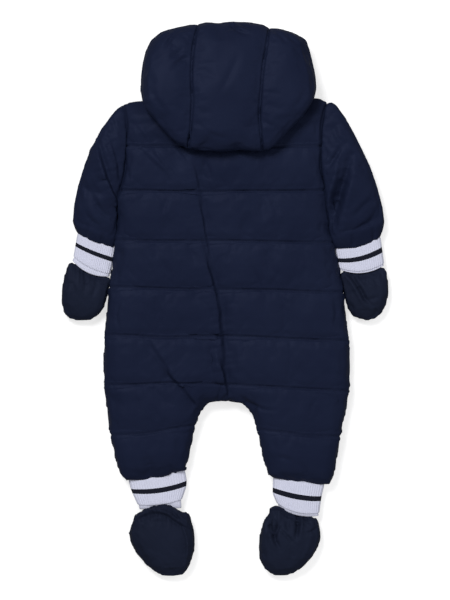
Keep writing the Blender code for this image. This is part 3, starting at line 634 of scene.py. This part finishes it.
for side in ("left", "right"):
    out = -1 if side == "left" else 1

    def sleeveHeld(points, normals):
        hem = smooth((92.0 - points[:, 1] + 0.33 * (out * points[:, 0] - 165.0)) / 8.0)
        floorHeld = smooth((2.2 - points[:, 2]) / 1.6)
        inner = ((points[:, 2] > 11.0) & (points[:, 2] < 23.0)) * 0.9
        return np.maximum.reduce([hem, floorHeld, inner, 1.3 * armholeNear(points, 6.0)])

    def sleeveRelief(points):
        x, y = points[:, 0], points[:, 1]
        total = creaseRelief(x, y, sleeveCreases[side]) + foldRelief(x, y, sleeveFolds[side], 9.0)
        total += seamRelief(x, y, rounded(armholes[side]), 1.4, 1.8, 0.6, 91 + out)
        return total + 0.3 * unevenWave(x + 0.6 * y, 15 + out, 34.0)

    sleeve = wadded("sleeve" + side.title(), "sleeve_" + side, sleeveCloth, sleeveHeld, shellCloth)
    sculpt(sleeve, sleeveRelief, 1.0, 0.0)
    points = pulled(spots(sleeve.data), shoulderTugs[side])
    points = drawnTo(points, armholes[side], out, 14, 8.0, 1.2)
    setSpots(sleeve.data, drawnTo(points, sides[side][:4], out, 8, 9.0, 1.8))
    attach(sleeve, garment)
    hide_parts("sleeve_" + side)
print("sleeves shaped")

# hood
hoodSeams = {
    "left": seenAt((198.6, 22), (198.0, 27), (195.2, 38), (193.3, 50), (192.1, 66), (191.7, 83),
                   (192.8, 100), (191.8, 118), (191.0, 130), (189.2, 143), (188.4, 153)),
    "right": seenAt((269.6, 26), (268.6, 32), (265.8, 50), (262.5, 70), (260.8, 93), (259.4, 113),
                    (260.0, 130), (261.6, 144), (262.2, 153))}
straightSeams = {"left": seenAt((196.5, 25), (190, 150)), "right": seenAt((265.6, 30), (260.2, 150))}
hoodCloth = {"voxel": 3.2, "ease": 4, "slack": 1.2, "pressure": 4.0, "extra": 0.015, "cap": 4.0,
             "stiff": 0.4, "outset": 1.0, "settle": 7.5}
hoodSewing = {"depth": 2.2, "width": 1.5, "puckers": 0.6}
hoodCreases = creasesOf(
    (2.2, 2.6, 1.0, (226, 22), (233, 28), (240, 33), (249, 36)),
    (1.6, 2.2, -0.8, (236, 23), (244, 27), (252, 30)),
    (1.8, 2.4, -0.8, (182, 30), (175, 35), (169, 43), (165, 50)),
    (1.4, 2.2, -0.8, (176, 29), (168, 35), (162, 43)),
    (1.8, 3.0, -0.9, (190, 57), (182, 62), (174, 70)),
    (1.2, 3.0, -0.7, (184, 50), (177, 56), (170, 60)),
    (1.6, 2.4, 0.8, (273, 31), (280, 37), (287, 45)),
    (1.6, 2.2, 0.8, (286, 35), (292, 41), (299, 46)),
    (1.0, 3.0, 0.6, (296, 36), (303, 42), (307, 50)),
    (1.0, 4.0, 0.5, (238, 58), (230, 76), (222, 92)),
    (1.2, 2.4, 0.7, (262, 122), (268, 126), (274, 127)),
    (1.0, 3.0, 0.6, (206, 132), (214, 137), (228, 140)),
    (1.0, 3.6, 0.5, (152, 92), (158, 104), (168, 114)),
    (1.0, 3.6, -0.5, (306, 88), (300, 102), (292, 112)))


def hoodShift(x, y):
    # the seams' curves: both sides of a seam move together
    shift = np.zeros_like(x)
    for side, line in hoodSeams.items():
        (ax, ay), (bx, by) = straightSeams[side]
        straight = ax + (bx - ax) * (y - ay) / (by - ay)
        curved = curveAt([(v, u) for u, v in reversed(line)], y)
        shift += (curved - straight) * np.exp(-((x - straight) / 26.0) ** 2)
    return shift


def hoodHeld(points, normals):
    x, y, z = points.T
    inner = smooth((z - 46.0) / -6.0) * (normals[:, 2] < 0.2)
    seams = np.zeros_like(x)
    for (ax, ay), (bx, by) in straightSeams.values():
        straight = ax + (bx - ax) * (y - ay) / (by - ay)
        seams = np.maximum(seams, np.exp(-((x - straight) / 3.6) ** 2))
    low = smooth((16.0 - z) / 8.0)
    return np.maximum.reduce([1.3 * seams, low, 0.8 * inner])


def hoodRelief(points):
    x, y = points[:, 0], points[:, 1]
    total = creaseRelief(x, y, hoodCreases)
    for seed, line in enumerate(hoodSeams.values()):
        total += seamRelief(x, y, rounded(line, 3), hoodSewing["depth"], hoodSewing["width"],
                            hoodSewing["puckers"], 51 + seed)
    return total + 0.3 * unevenWave(x * 0.7 - y * 0.5, 25, 90.0) * smooth((350 - y) / 40)


for part in ("left", "centre", "right"):
    panel = wadded("hood" + part.title(), "hood_" + part, hoodCloth, hoodHeld, shellCloth)
    points = spots(panel.data)
    points[:, 0] += hoodShift(points[:, 0], points[:, 1])
    if part != "right":
        points = drawnTo(points, hoodSeams["left"], -1 if part == "left" else 1, 20, 8.0, 1.2)
    if part != "left":
        points = drawnTo(points, hoodSeams["right"], 1 if part == "right" else -1, 20, 8.0, 1.2)
    # the lower rim settles on to the back
    settle = smooth((256.0 - points[:, 1]) / 14.0) * smooth((43.0 - points[:, 2]) / 14.0)
    points[:, 2] -= hoodCloth["settle"] * settle
    setSpots(panel.data, points)
    sculpt(panel, hoodRelief, 1.0)
    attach(panel, garment)
    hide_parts("hood_" + part)
print("hood shaped")

# mittens and booties
padCloth = {"voxel": 2.4, "ease": 2, "slack": 0.4, "pressure": 3.5, "extra": 0.02, "cap": 2.5,
            "stiff": 0.3, "outset": 0.9}
padOutlines = {         # each seen from behind, counter-clockwise, a few places for a curve
    "mitten_left": seenAt((69.5, 262), (65.5, 271), (62.5, 285), (61.5, 299), (63, 310), (68, 317.5),
                          (76, 320), (85, 320.5), (94, 317.5), (102, 311), (105.5, 301), (111, 281.5)),
    "mitten_right": seenAt((340.5, 281), (345, 298.5), (348, 308), (352, 315), (357.5, 318), (364, 319.5),
                           (372, 320), (378, 316.5), (384, 309), (388, 298), (388.5, 288), (387.5, 277),
                           (385.5, 268)),
    "bootie_left": seenAt((141, 510), (133.5, 520), (129, 530.5), (131, 543), (137.5, 555), (146, 564.5),
                          (155, 572), (165, 576), (177, 576.5), (186, 571), (191.5, 559.5), (194.5, 546),
                          (194, 533), (190.5, 519.5), (185, 512), (175, 508), (164, 505), (152, 506),
                          (141.5, 509.5)),
    "bootie_right": seenAt((272.5, 505.5), (266, 516.5), (261.5, 529), (259, 543), (259.5, 556),
                           (263.5, 567.5), (271, 574), (279.5, 576), (290, 574.5), (300, 569.5), (309, 561),
                           (316, 551), (320, 541), (320.5, 530), (318.5, 520), (311, 516), (299, 514.5),
                           (290.5, 511), (284.5, 507), (279, 504), (273, 505))}
padTugs = {             # where the cloth is tugged out or lies on its cuff: place, reach and move
    "mitten_left": [((69, 266), 6.0, (0.4, 5.0, 0.0)), ((110, 279), 7.0, (2.0, 4.0, 0.0))],
    "mitten_right": [((384, 268), 6.0, (0.0, 5.0, 0.0)), ((343, 278), 7.0, (-2.5, 3.0, 0.0))],
    "bootie_left": [((139, 517), 9.0, (-4.0, 5.0, 3.0)), ((162, 511), 14.0, (0.0, 7.0, 5.0)),
                    ((187, 516), 9.0, (4.0, 6.0, 3.0))],
    "bootie_right": [((277, 509), 9.0, (-1.5, 13.0, 6.0)), ((316, 518), 8.0, (3.0, 6.0, 3.0))]}
padCreases = {
    "mitten_back_left": creasesOf(
        (1.4, 2.6, 0.7, (84, 270), (86, 282), (84, 294)),
        (1.4, 2.6, -0.7, (97, 276), (96, 286), (92, 298)),
        (1.0, 3.0, 0.6, (72, 278), (74, 290), (72, 302))),
    "mitten_back_right": creasesOf(
        (4.6, 2.6, -1.0, (350, 274), (355, 281), (361, 291), (366, 300), (372, 305)),
        (1.6, 2.6, -0.8, (366, 300), (371, 299), (378, 297)),
        (1.2, 3.0, 0.6, (374, 272), (376, 282), (379, 290))),
    "bootie_sole_left": creasesOf(
        (1.2, 2.6, 0.6, (148, 524), (158, 521), (168, 523)),
        (0.9, 3.4, 0.5, (146, 540), (154, 550), (166, 556))),
    "bootie_sole_right": creasesOf(
        (4.6, 2.8, 0.8, (269.5, 519), (270, 526), (274, 536)),
        (4.6, 2.8, -0.8, (281, 521), (276.5, 530), (274.5, 536), (280, 549)),
        (5.0, 2.6, 0.9, (297.8, 514), (297.6, 524), (296, 538)),
        (2.2, 2.4, 0.7, (279, 528), (286, 535), (293, 543)),
        (1.8, 2.0, 0.7, (301, 516.6), (305, 519), (310, 523)),
        (1.6, 2.0, -0.6, (318, 527), (312, 531), (305, 534)),
        (1.4, 2.4, 0.6, (288, 520), (287, 526), (289, 532)),
        (1.0, 3.0, 0.6, (286, 548), (291, 554), (290, 562)))}


padFolds = {
    "bootie_sole_left": creasesOf(
        (7.5, 2.8, -1.0, (133, 524), (139, 517.5), (146, 514.5), (156, 512.4), (166.4, 514.2), (174.7, 520),
         (183, 525), (194, 532)),
        (5.0, 2.4, -1.0, (160, 507), (170, 511), (179.7, 518.5), (190, 528)),
        (5.0, 2.8, -1.0, (178, 516), (182.5, 529), (185.4, 540), (185.8, 552), (184, 566))),
    "bootie_sole_right": creasesOf(
        (3.0, 2.6, -1.0, (268, 512), (276, 509), (286, 514), (296, 519), (306, 521)))}


def padHeld(points, normals):
    middle = 1 - smooth((np.abs(points[:, 2] - 11.0) - 2.4) / 2.0)
    floorHeld = smooth((1.2 - points[:, 2]) / 0.8)
    return np.maximum(middle, floorHeld)


def easeEdge(piece, above, times):
    # evens out the cloth above a height on the picture
    bm = bmesh.new()
    bm.from_mesh(piece.data)
    verts = [v for v in bm.verts if v.co.y > above * mm]
    for step in range(times):
        bmesh.ops.smooth_vert(bm, verts=verts, factor=0.5,
                              use_axis_x=True, use_axis_y=True, use_axis_z=True)
    bm.to_mesh(piece.data)
    bm.free()


for node in ("mitten_back", "mitten_palm", "bootie_sole", "bootie_upper"):
    for side in ("left", "right"):
        name = node + "_" + side
        words = name.split("_")
        pad = wadded(words[0] + words[1].title() + words[2].title(), name, padCloth, padHeld, bootieCloth)
        facing = 1.0 if node in ("mitten_back", "bootie_sole") else -1.0
        seed = len(name) + (3 if side == "left" else 0)

        def padRelief(points):
            x, y = points[:, 0], points[:, 1]
            total = creaseRelief(x, y, padCreases.get(name, []))
            total = total + foldRelief(x, y, padFolds.get(name, []), 6.0)
            gathered = smooth(((34.0 if "mitten" in name else -284.0) - 22.0 - y) / -22.0)
            total = total + 0.7 * gathered * unevenWave(x, seed, 11.0)
            return total + 0.25 * unevenWave(x + y, seed + 1, 30.0)

        outline = rounded(padOutlines[words[0] + "_" + side])
        tugs = [(place, reach, (dx, dy, dz * (facing > 0))) for place, reach, (dx, dy, dz)
                in padTugs[words[0] + "_" + side]]
        setSpots(pad.data, drawnTo(pulled(spots(pad.data), tugs), outline, 1, 36, 9.0, 0.0, 6.0))
        if words[0] == "bootie":
            easeEdge(pad, -283.0, 16)       # where the top is gathered on to the cuff
            setSpots(pad.data, drawnTo(spots(pad.data), outline, 1, 36, 9.0, 0.0, 6.0))
        sculpt(pad, padRelief, facing, 0.0)
        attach(pad, garment)
        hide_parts(name)
print("mittens and booties shaped")

# ribbed cuffs
Cut = namedtuple("Cut", "outX outY inX inY sag high low")
Cuff = namedtuple("Cuff", "name cuts stripeOut stripeIn stripeBow stripe flat")
ribs = {"each": 22, "across": 4, "depth": 0.9, "wall": 1.5, "tuck": 5.0}
cuffs = (
    Cuff("cuff_wrist_left", (
        Cut(-191.9, 84.6, -141.7, 66.2, -3.2, 18.4, 4.0), Cut(-197.1, 55.2, -149.1, 32.5, -3.9, 18.2, 3.8),
        Cut(-195.9, 54.7, -150.3, 33.0, -3.9, 17.0, 5.0), Cut(-198.9, 49.9, -150.8, 28.9, -6.5, 16.8, 5.2)),
        0.46, 0.45, -0.06, 5.8, (0.112, 0.042)),
    Cuff("cuff_wrist_right", (
        Cut(202.4, 79.8, 143.1, 64.9, 6.1, 18.4, 4.0), Cut(206.9, 46.2, 147.2, 40.8, 7.4, 18.2, 3.8),
        Cut(205.7, 46.1, 148.4, 41.0, 7.4, 17.0, 5.0), Cut(206.9, 43.4, 148.1, 38.6, 7.4, 16.8, 5.2)),
        0.465, 0.59, -0.07, 8.8, (0.128, 0.042)),
    Cuff("cuff_ankle_left", (
        Cut(-125.5, -235.6, -52.5, -222.2, -2.9, 18.8, 3.2),
        Cut(-121.9, -249.6, -49.1, -240.5, -2.6, 19.0, 3.0),
        Cut(-113.4, -267.8, -56.2, -260.8, -3.2, 18.6, 3.4),
        Cut(-112.1, -267.7, -57.5, -260.9, -3.2, 17.4, 4.6),
        Cut(-111.3, -273.8, -56.7, -272.5, 0.0, 15.4, 6.0)),
        0.50, 0.48, 0.03, 7.4, (0.150, 0.045)),
    Cuff("cuff_ankle_right", (
        Cut(129.1, -242.3, 62.7, -234.1, 0.4, 18.8, 3.2), Cut(125.1, -258.7, 62.1, -253.5, 3.4, 19.0, 3.0),
        Cut(122.6, -278.5, 67.9, -266.0, 5.5, 18.6, 3.4),
        Cut(121.3, -278.2, 69.2, -266.2, 5.5, 17.4, 4.6), Cut(121.9, -282.4, 69.5, -270.7, 5.2, 15.4, 6.0)),
        0.52, 0.37, 0.0, 7.4, (0.135, 0.045)))


def gridThrough(points):
    # a sheet of quads through rows of points
    rows, across = points.shape[:2]
    bm = bmesh.new()
    bmesh.ops.create_grid(bm, x_segments=across - 1, y_segments=rows - 1, size=1.0)
    bm.verts.ensure_lookup_table()
    for vert, spot in zip(bm.verts, points.reshape(-1, 3)):
        vert.co = spot * mm
    return bm


def closedSheet(name, rows, material):
    # a folded strip with both its ends closed
    bm = gridThrough(np.array(rows))
    bmesh.ops.remove_doubles(bm, verts=bm.verts[:], dist=0.00001)
    bmesh.ops.holes_fill(bm, edges=[e for e in bm.edges if e.is_boundary], sides=0)
    bmesh.ops.recalc_face_normals(bm, faces=bm.faces[:])
    return newPiece(name, bm, [material])


def cutPoints(cut, turns, inward, ribbed):
    # a flattened ring across a cuff, its ribs raised as a knit's are
    along = np.array([cut.inX - cut.outX, cut.inY - cut.outY])
    along /= np.linalg.norm(along)
    t = 0.5 - 0.5 * np.cos(turns)
    outEnd = np.array([cut.outX, cut.outY]) + along * (inward - ribbed * (t < 0.5))[:, None]
    inEnd = np.array([cut.inX, cut.inY]) - along * (inward - ribbed * (t >= 0.5))[:, None]
    spot = outEnd + (inEnd - outEnd) * t[:, None]
    spot += np.array([-along[1], along[0]]) * (cut.sag * 4 * t * (1 - t))[:, None]
    up = np.sin(turns)
    half = (cut.high - cut.low) / 2 - inward + ribbed
    z = (cut.high + cut.low) / 2 + np.sign(up) * half * np.abs(up) ** np.where(up > 0, 0.72, 0.55)
    return np.column_stack([spot, z])


def betweenCuts(cuts, at):
    i = min(int(at), len(cuts) - 2)
    return Cut(*(lerp(a, b, at - i) for a, b in zip(cuts[i], cuts[i + 1])))


def ribCuff(cuff):
    count = ribs["each"] * ribs["across"]
    lean = np.arccos(1 - 2 * np.arange(count) / count)
    turns = np.concatenate([lean, math.pi + lean])
    steps = np.arange(2 * count)
    ridge = ribs["depth"] * (np.abs(np.cos(np.pi * steps / ribs["across"])) ** 0.8 - 0.35)
    ridge *= 1 + 0.2 * unevenWave(steps * 1.0, 7, 40.0)
    outer, turned = cuff.cuts[:-2], cuff.cuts[-2:]
    t = 0.5 - 0.5 * np.cos(turns)
    middle = lerp(cuff.stripeOut, cuff.stripeIn, t) + cuff.stripeBow * 4 * t * (1 - t)
    length = math.hypot(outer[0].outX - outer[-1].outX, outer[0].outY - outer[-1].outY)
    halfStripe = 0.5 * cuff.stripe / length
    inside = ribs["wall"] + 0.9
    levels = 20             # rings worked out along the cuff, to read between
    # the end that is sewn in reaches a little way inside the cloth above it
    sewnIn = Cut(*(a + (a - b) * ribs["tuck"] / length * (k < 4)
                   for k, (a, b) in enumerate(zip(outer[0], outer[-1]))))
    rows = [cutPoints(sewnIn, turns, 0.6, ridge * 0.3)]

    def ringAt(share, inward, ridges):
        # share runs along the cuff and may differ round it
        low = [cutPoints(betweenCuts(outer, s * (len(outer) - 1)), turns, inward, ridges)
               for s in np.linspace(0, 1, levels + 1)]
        stack = np.array(low)
        at = np.clip(share, 0, 1) * levels
        i = np.minimum(at.astype(int), levels - 1)
        k = np.arange(len(turns))
        return stack[i, k] + (stack[i + 1, k] - stack[i, k]) * (at - i)[:, None]

    for share in (0.0, 0.22, 0.45, 0.7, 1.0):
        rows.append(ringAt((middle - halfStripe) * share, 0.0, ridge * (0.5 if share == 0.0 else 1.0)))
    stripeRow = len(rows)
    for share in (0.0, 0.25, 0.5, 0.78, 0.92, 1.0):
        loose = 0.0 if share < 1 else 0.35
        rows.append(ringAt(middle + halfStripe + (1 - middle - halfStripe) * share, loose, ridge))
    for share in (0.0, 0.35, 0.7, 1.0):
        drawnIn = 0.3 if share in (0.0, 1.0) else 0.0
        rows.append(cutPoints(betweenCuts(turned, share), turns, drawnIn, ridge * 0.8))
    rows.append(cutPoints(turned[-1], turns, ribs["wall"], ridge * 0.0))
    for share in (1.0, 0.75, 0.5, 0.25, 0.0):
        rows.append(ringAt(np.full(len(turns), share), inside, ridge * 0.0))
    rows.append(cutPoints(sewnIn, turns, inside, ridge * 0.0))
    rows.append(rows[0])
    points = np.array(rows)
    points = np.concatenate([points, points[:, :1]], axis=1)
    bm = gridThrough(points)
    bm.faces.ensure_lookup_table()
    across = points.shape[1] - 1
    for k in range(across):
        bm.faces[(stripeRow - 1) * across + k].material_index = 1
    bmesh.ops.remove_doubles(bm, verts=bm.verts[:], dist=0.00001)
    bmesh.ops.recalc_face_normals(bm, faces=bm.faces[:])
    words = cuff.name.split("_")
    piece = newPiece(words[1] + "Cuff" + words[2].title(), bm, [whiteRib, navyRib])
    rounding = piece.modifiers.new("rounding", "SUBSURF")
    rounding.levels = rounding.render_levels = 1
    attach(piece, garment)
    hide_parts(cuff.name)


for cuff in cuffs:
    ribCuff(cuff)
print("cuffs knitted")

# trim round the face opening
hoodMiddle = (3.9, 271.7)
hoodOutline = (
    (-91.0, 230.5), (-106.6, 248.3), (-108.7, 261.3), (-108.8, 279.5), (-106.3, 306.8),
    (-101.8, 325.0), (-94.5, 338.5), (-86.3, 345.8), (-74.5, 348.4), (-48.9, 355.6),
    (-28.9, 359.2), (-10.4, 357.5), (20.4, 359.6), (40.3, 357.5), (54.6, 352.3),
    (81.9, 347.1), (98.8, 341.9), (105.3, 336.7), (108.8, 325.0), (114.4, 301.6),
    (118.6, 274.3), (117.0, 262.6), (112.7, 249.6), (101.4, 235.3))
trimRows = (            # angle, then how far inside the outline its outer and inner edges lie
    (184, 14, 40), (170, 10, 36), (156, 6, 30), (144, 1.2, 24),
    (136, -2.4, 22), (128, -2.2, 22), (118, 1.4, 22), (104, 3.5, 22), (90, 3.5, 22),
    (76, 2.5, 22), (64, -1.6, 22), (52, -2.6, 22), (44, -2.0, 22), (36, 1.5, 24),
    (22, 6, 30), (10, 10, 36), (-4, 14, 40))


trimSection = (         # share of the way in, and height
    (0.0, 1.6), (0.02, 2.6), (0.08, 3.3), (0.2, 3.6), (0.4, 3.55), (0.5, 3.2), (0.6, 3.55), (0.8, 3.6),
    (0.93, 3.3), (1.0, 1.8), (0.97, 0.5), (0.8, 0.3), (0.5, 0.3), (0.2, 0.3), (0.03, 0.6), (0.0, 1.6))


def hoodReach(angle):
    polar = sorted((math.degrees(math.atan2(y - hoodMiddle[1], x - hoodMiddle[0])) % 360,
                    math.hypot(x - hoodMiddle[0], y - hoodMiddle[1])) for x, y in hoodOutline)
    angles, reaches = zip(*polar)
    return float(np.interp(angle % 360, angles, reaches, period=360))


def hoodTrim():
    table = np.array(sorted(trimRows), float)
    rows = []
    for angle in np.arange(184.0, -4.1, -2.0):
        outer, inner = (float(np.interp(angle, table[:, 0], table[:, k])) for k in (1, 2))
        turn = math.radians(angle)
        band = []
        for share, height in trimSection:
            reach = hoodReach(angle) - lerp(outer, inner, share)
            reach += 0.25 * float(unevenWave(angle * 2.6, 3, 9.0))
            lift = height + (0.15 * float(unevenWave(angle * 2.6 + share * 9, 4, 8.0)) if height > 2 else 0)
            band.append((hoodMiddle[0] + math.cos(turn) * reach, hoodMiddle[1] + math.sin(turn) * reach,
                         max(min(lift, 3.75), 0.25)))
        rows.append(band)
    piece = closedSheet("hoodTrim", rows, whiteTrim)
    rounding = piece.modifiers.new("rounding", "SUBSURF")
    rounding.levels = rounding.render_levels = 1
    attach(piece, garment)
    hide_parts("hood_trim")


hoodTrim()
print("trim made")

# zip, hidden under the suit
zipSize = {"x": 3.0, "tape": 10.4, "top": 214.0, "end": -78.0, "tooth": 1.5, "pullY": 197.0, "pullZ": 3.4}


def boxFrom(bm, low, high):
    made = bmesh.ops.create_cube(bm, size=1.0)["verts"]
    size = [(b - a) * mm for a, b in zip(low, high)]
    bmesh.ops.scale(bm, vec=size, verts=made)
    bmesh.ops.translate(bm, vec=[(a + b) / 2 * mm for a, b in zip(low, high)], verts=made)
    return made


def frontZip():
    size = zipSize
    half = size["tape"] / 2
    rows = []
    for y in np.arange(size["top"], size["end"] - 0.1, -4.0):
        ring = [(-half, 9.9), (-half, 11.2), (-half + 0.4, 11.6), (-1.6, 11.6), (0, 11.7), (1.6, 11.6),
                (half - 0.4, 11.6), (half, 11.2), (half, 9.9), (half - 0.4, 9.6), (0, 9.6),
                (-half + 0.4, 9.6),
                (-half, 9.9)]
        wave = 0.12 * float(unevenWave(y, 9, 12.0))
        rows.append([(size["x"] + x, y, z + wave) for x, z in ring])
    tape = closedSheet("zipTape", rows, zipCloth)
    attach(tape, garment)
    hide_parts("front_zip")
    bm = bmesh.new()
    count = int((size["top"] - 4 - size["end"]) / size["tooth"])
    for k in range(count):
        y = size["top"] - 4 - k * size["tooth"]
        lean = 0.9 if k % 2 else -0.9
        tooth = boxFrom(bm, (size["x"] - 2.0 + lean, y - 0.5, 8.3), (size["x"] + 2.0 + lean, y + 0.5, 9.7))
        bmesh.ops.bevel(bm, geom=list({e for v in tooth for e in v.link_edges}), offset=0.3 * mm,
                        affect="EDGES", segments=1, profile=0.5, material=-1)
    teeth = newPiece("zipTeeth", bm, [zipCoil])
    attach(teeth, garment)


def zipSlider():
    size = zipSize
    bm = bmesh.new()
    x, y = size["x"], size["pullY"]
    plate = boxFrom(bm, (x - 4.0, y - 2.8, 5.6), (x + 4.0, y + 10.2, 9.0))
    for vert in plate:
        if vert.co.y < y * mm:
            vert.co.x = x * mm + (vert.co.x - x * mm) * 0.72
        if vert.co.z < 7 * mm:
            vert.co.x = x * mm + (vert.co.x - x * mm) * 0.94
    for lug in (-3.5, 3.5):
        boxFrom(bm, (x + lug - 0.5, y - 1.6, 2.0), (x + lug + 0.5, y + 1.6, 5.9))
    bmesh.ops.bevel(bm, geom=bm.edges[:], offset=0.35 * mm, affect="EDGES", segments=3, profile=0.5,
                    material=-1)
    pin = bmesh.ops.create_cone(bm, cap_ends=True, segments=20, radius1=0.55 * mm, radius2=0.55 * mm,
                                depth=7.4 * mm)
    bmesh.ops.rotate(bm, verts=pin["verts"], cent=(0, 0, 0), matrix=Matrix.Rotation(math.pi / 2, 3, "Y"))
    bmesh.ops.translate(bm, verts=pin["verts"], vec=(x * mm, y * mm, size["pullZ"] * mm))
    slider = newPiece("zipSlider", bm, [zipMetal])
    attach(slider, garment)
    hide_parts("zip_slider")


def zipPull():
    size = zipSize
    x, y, z = size["x"], size["pullY"], size["pullZ"]
    outline = [(0.9, 2.5), (-5.0, 2.5), (-6.6, 3.7), (-12.0, 3.8), (-18.6, 3.7), (-20.6, 3.0), (-21.4, 1.8)]
    ring = [(x - half, y + along) for along, half in outline]
    ring += [(x + half, y + along) for along, half in reversed(outline)]
    bm = bmesh.new()
    verts = [bm.verts.new((px * mm, py * mm, (z - 0.75) * mm)) for px, py in ring]
    face = bm.faces.new(verts)
    bmesh.ops.inset_region(bm, faces=[face], thickness=1.5 * mm)
    lifted = bmesh.ops.extrude_face_region(bm, geom=bm.faces[:])
    raised = [v for v in lifted["geom"] if isinstance(v, bmesh.types.BMVert)]
    bmesh.ops.translate(bm, vec=(0, 0, 1.5 * mm), verts=raised)
    bmesh.ops.recalc_face_normals(bm, faces=bm.faces[:])
    rims = [e for e in bm.edges if len(e.link_faces) == 2 and e.calc_face_angle(0) > 1.0]
    bmesh.ops.bevel(bm, geom=rims, offset=0.28 * mm, affect="EDGES", segments=3, profile=0.5, material=-1)
    pull = newPiece("zipPull", bm, [zipMetal])
    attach(pull, "pull_tab")
    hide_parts("zip_pull")


frontZip()
zipSlider()
zipPull()
print("zip made")

# sewing
stitches = {"pitch": 3.2, "long": 2.3, "thick": 0.42, "sink": 0.12}


def stitchRun(bm, tree, line, facing):
    # short stitches lying in the groove of a sewn line, each dipping at both its ends
    line = np.array(line, float)
    lengths = np.concatenate([[0.0], np.cumsum(np.hypot(*np.diff(line, axis=0).T))])
    for at in np.arange(2.0, lengths[-1] - 2.0, stitches["pitch"]):
        ends = [np.array([np.interp(at + end * stitches["long"] / 2, lengths, line[:, k]) for k in (0, 1)])
                for end in (-1, 1)]
        spot = (ends[0] + ends[1]) / 2
        start = Vector((spot[0] * mm, spot[1] * mm, 0.2 * facing))
        hit = tree.ray_cast(start, Vector((0, 0, -facing)))[0]
        if hit is None:
            continue
        made = bmesh.ops.create_icosphere(bm, subdivisions=1, radius=0.5)["verts"]
        bmesh.ops.scale(bm, vec=(stitches["long"] * mm, stitches["thick"] * mm, stitches["thick"] * mm),
                        verts=made)
        turn = math.atan2(ends[1][1] - ends[0][1], ends[1][0] - ends[0][0])
        bmesh.ops.rotate(bm, verts=made, cent=(0, 0, 0), matrix=Vector((1, 0, 0)).rotation_difference(
            Vector((math.cos(turn), math.sin(turn), 0))).to_matrix())
        bmesh.ops.translate(bm, verts=made, vec=hit + Vector((0, 0, -facing * stitches["sink"] * mm)))


def treeOf(piece):
    bm = bmesh.new()
    bm.from_mesh(piece.data)
    tree = BVHTree.FromBMesh(bm)
    bm.free()
    return tree


def sewLines(name, tree, lines, facing):
    bm = bmesh.new()
    for line in lines:
        stitchRun(bm, tree, line, facing)
    if bm.verts:
        thread = newPiece(name, bm, [sewingThread])
        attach(thread, garment)
    else:
        bm.free()


def acrossLine(line):
    xs = np.linspace(line[0][0], line[-1][0], 60)
    return np.column_stack([xs, curveAt(line, xs)])


sewLines("stitchingBack", treeOf(back), [acrossLine(line) for line in quilting.values()], 1.0)
for side in ("Left", "Right"):
    sewLines("stitchingFront" + side, treeOf(bpy.data.objects["frontPanel" + side]),
             [acrossLine(line) for line in quilting.values()], -1.0)
print("sewing done")
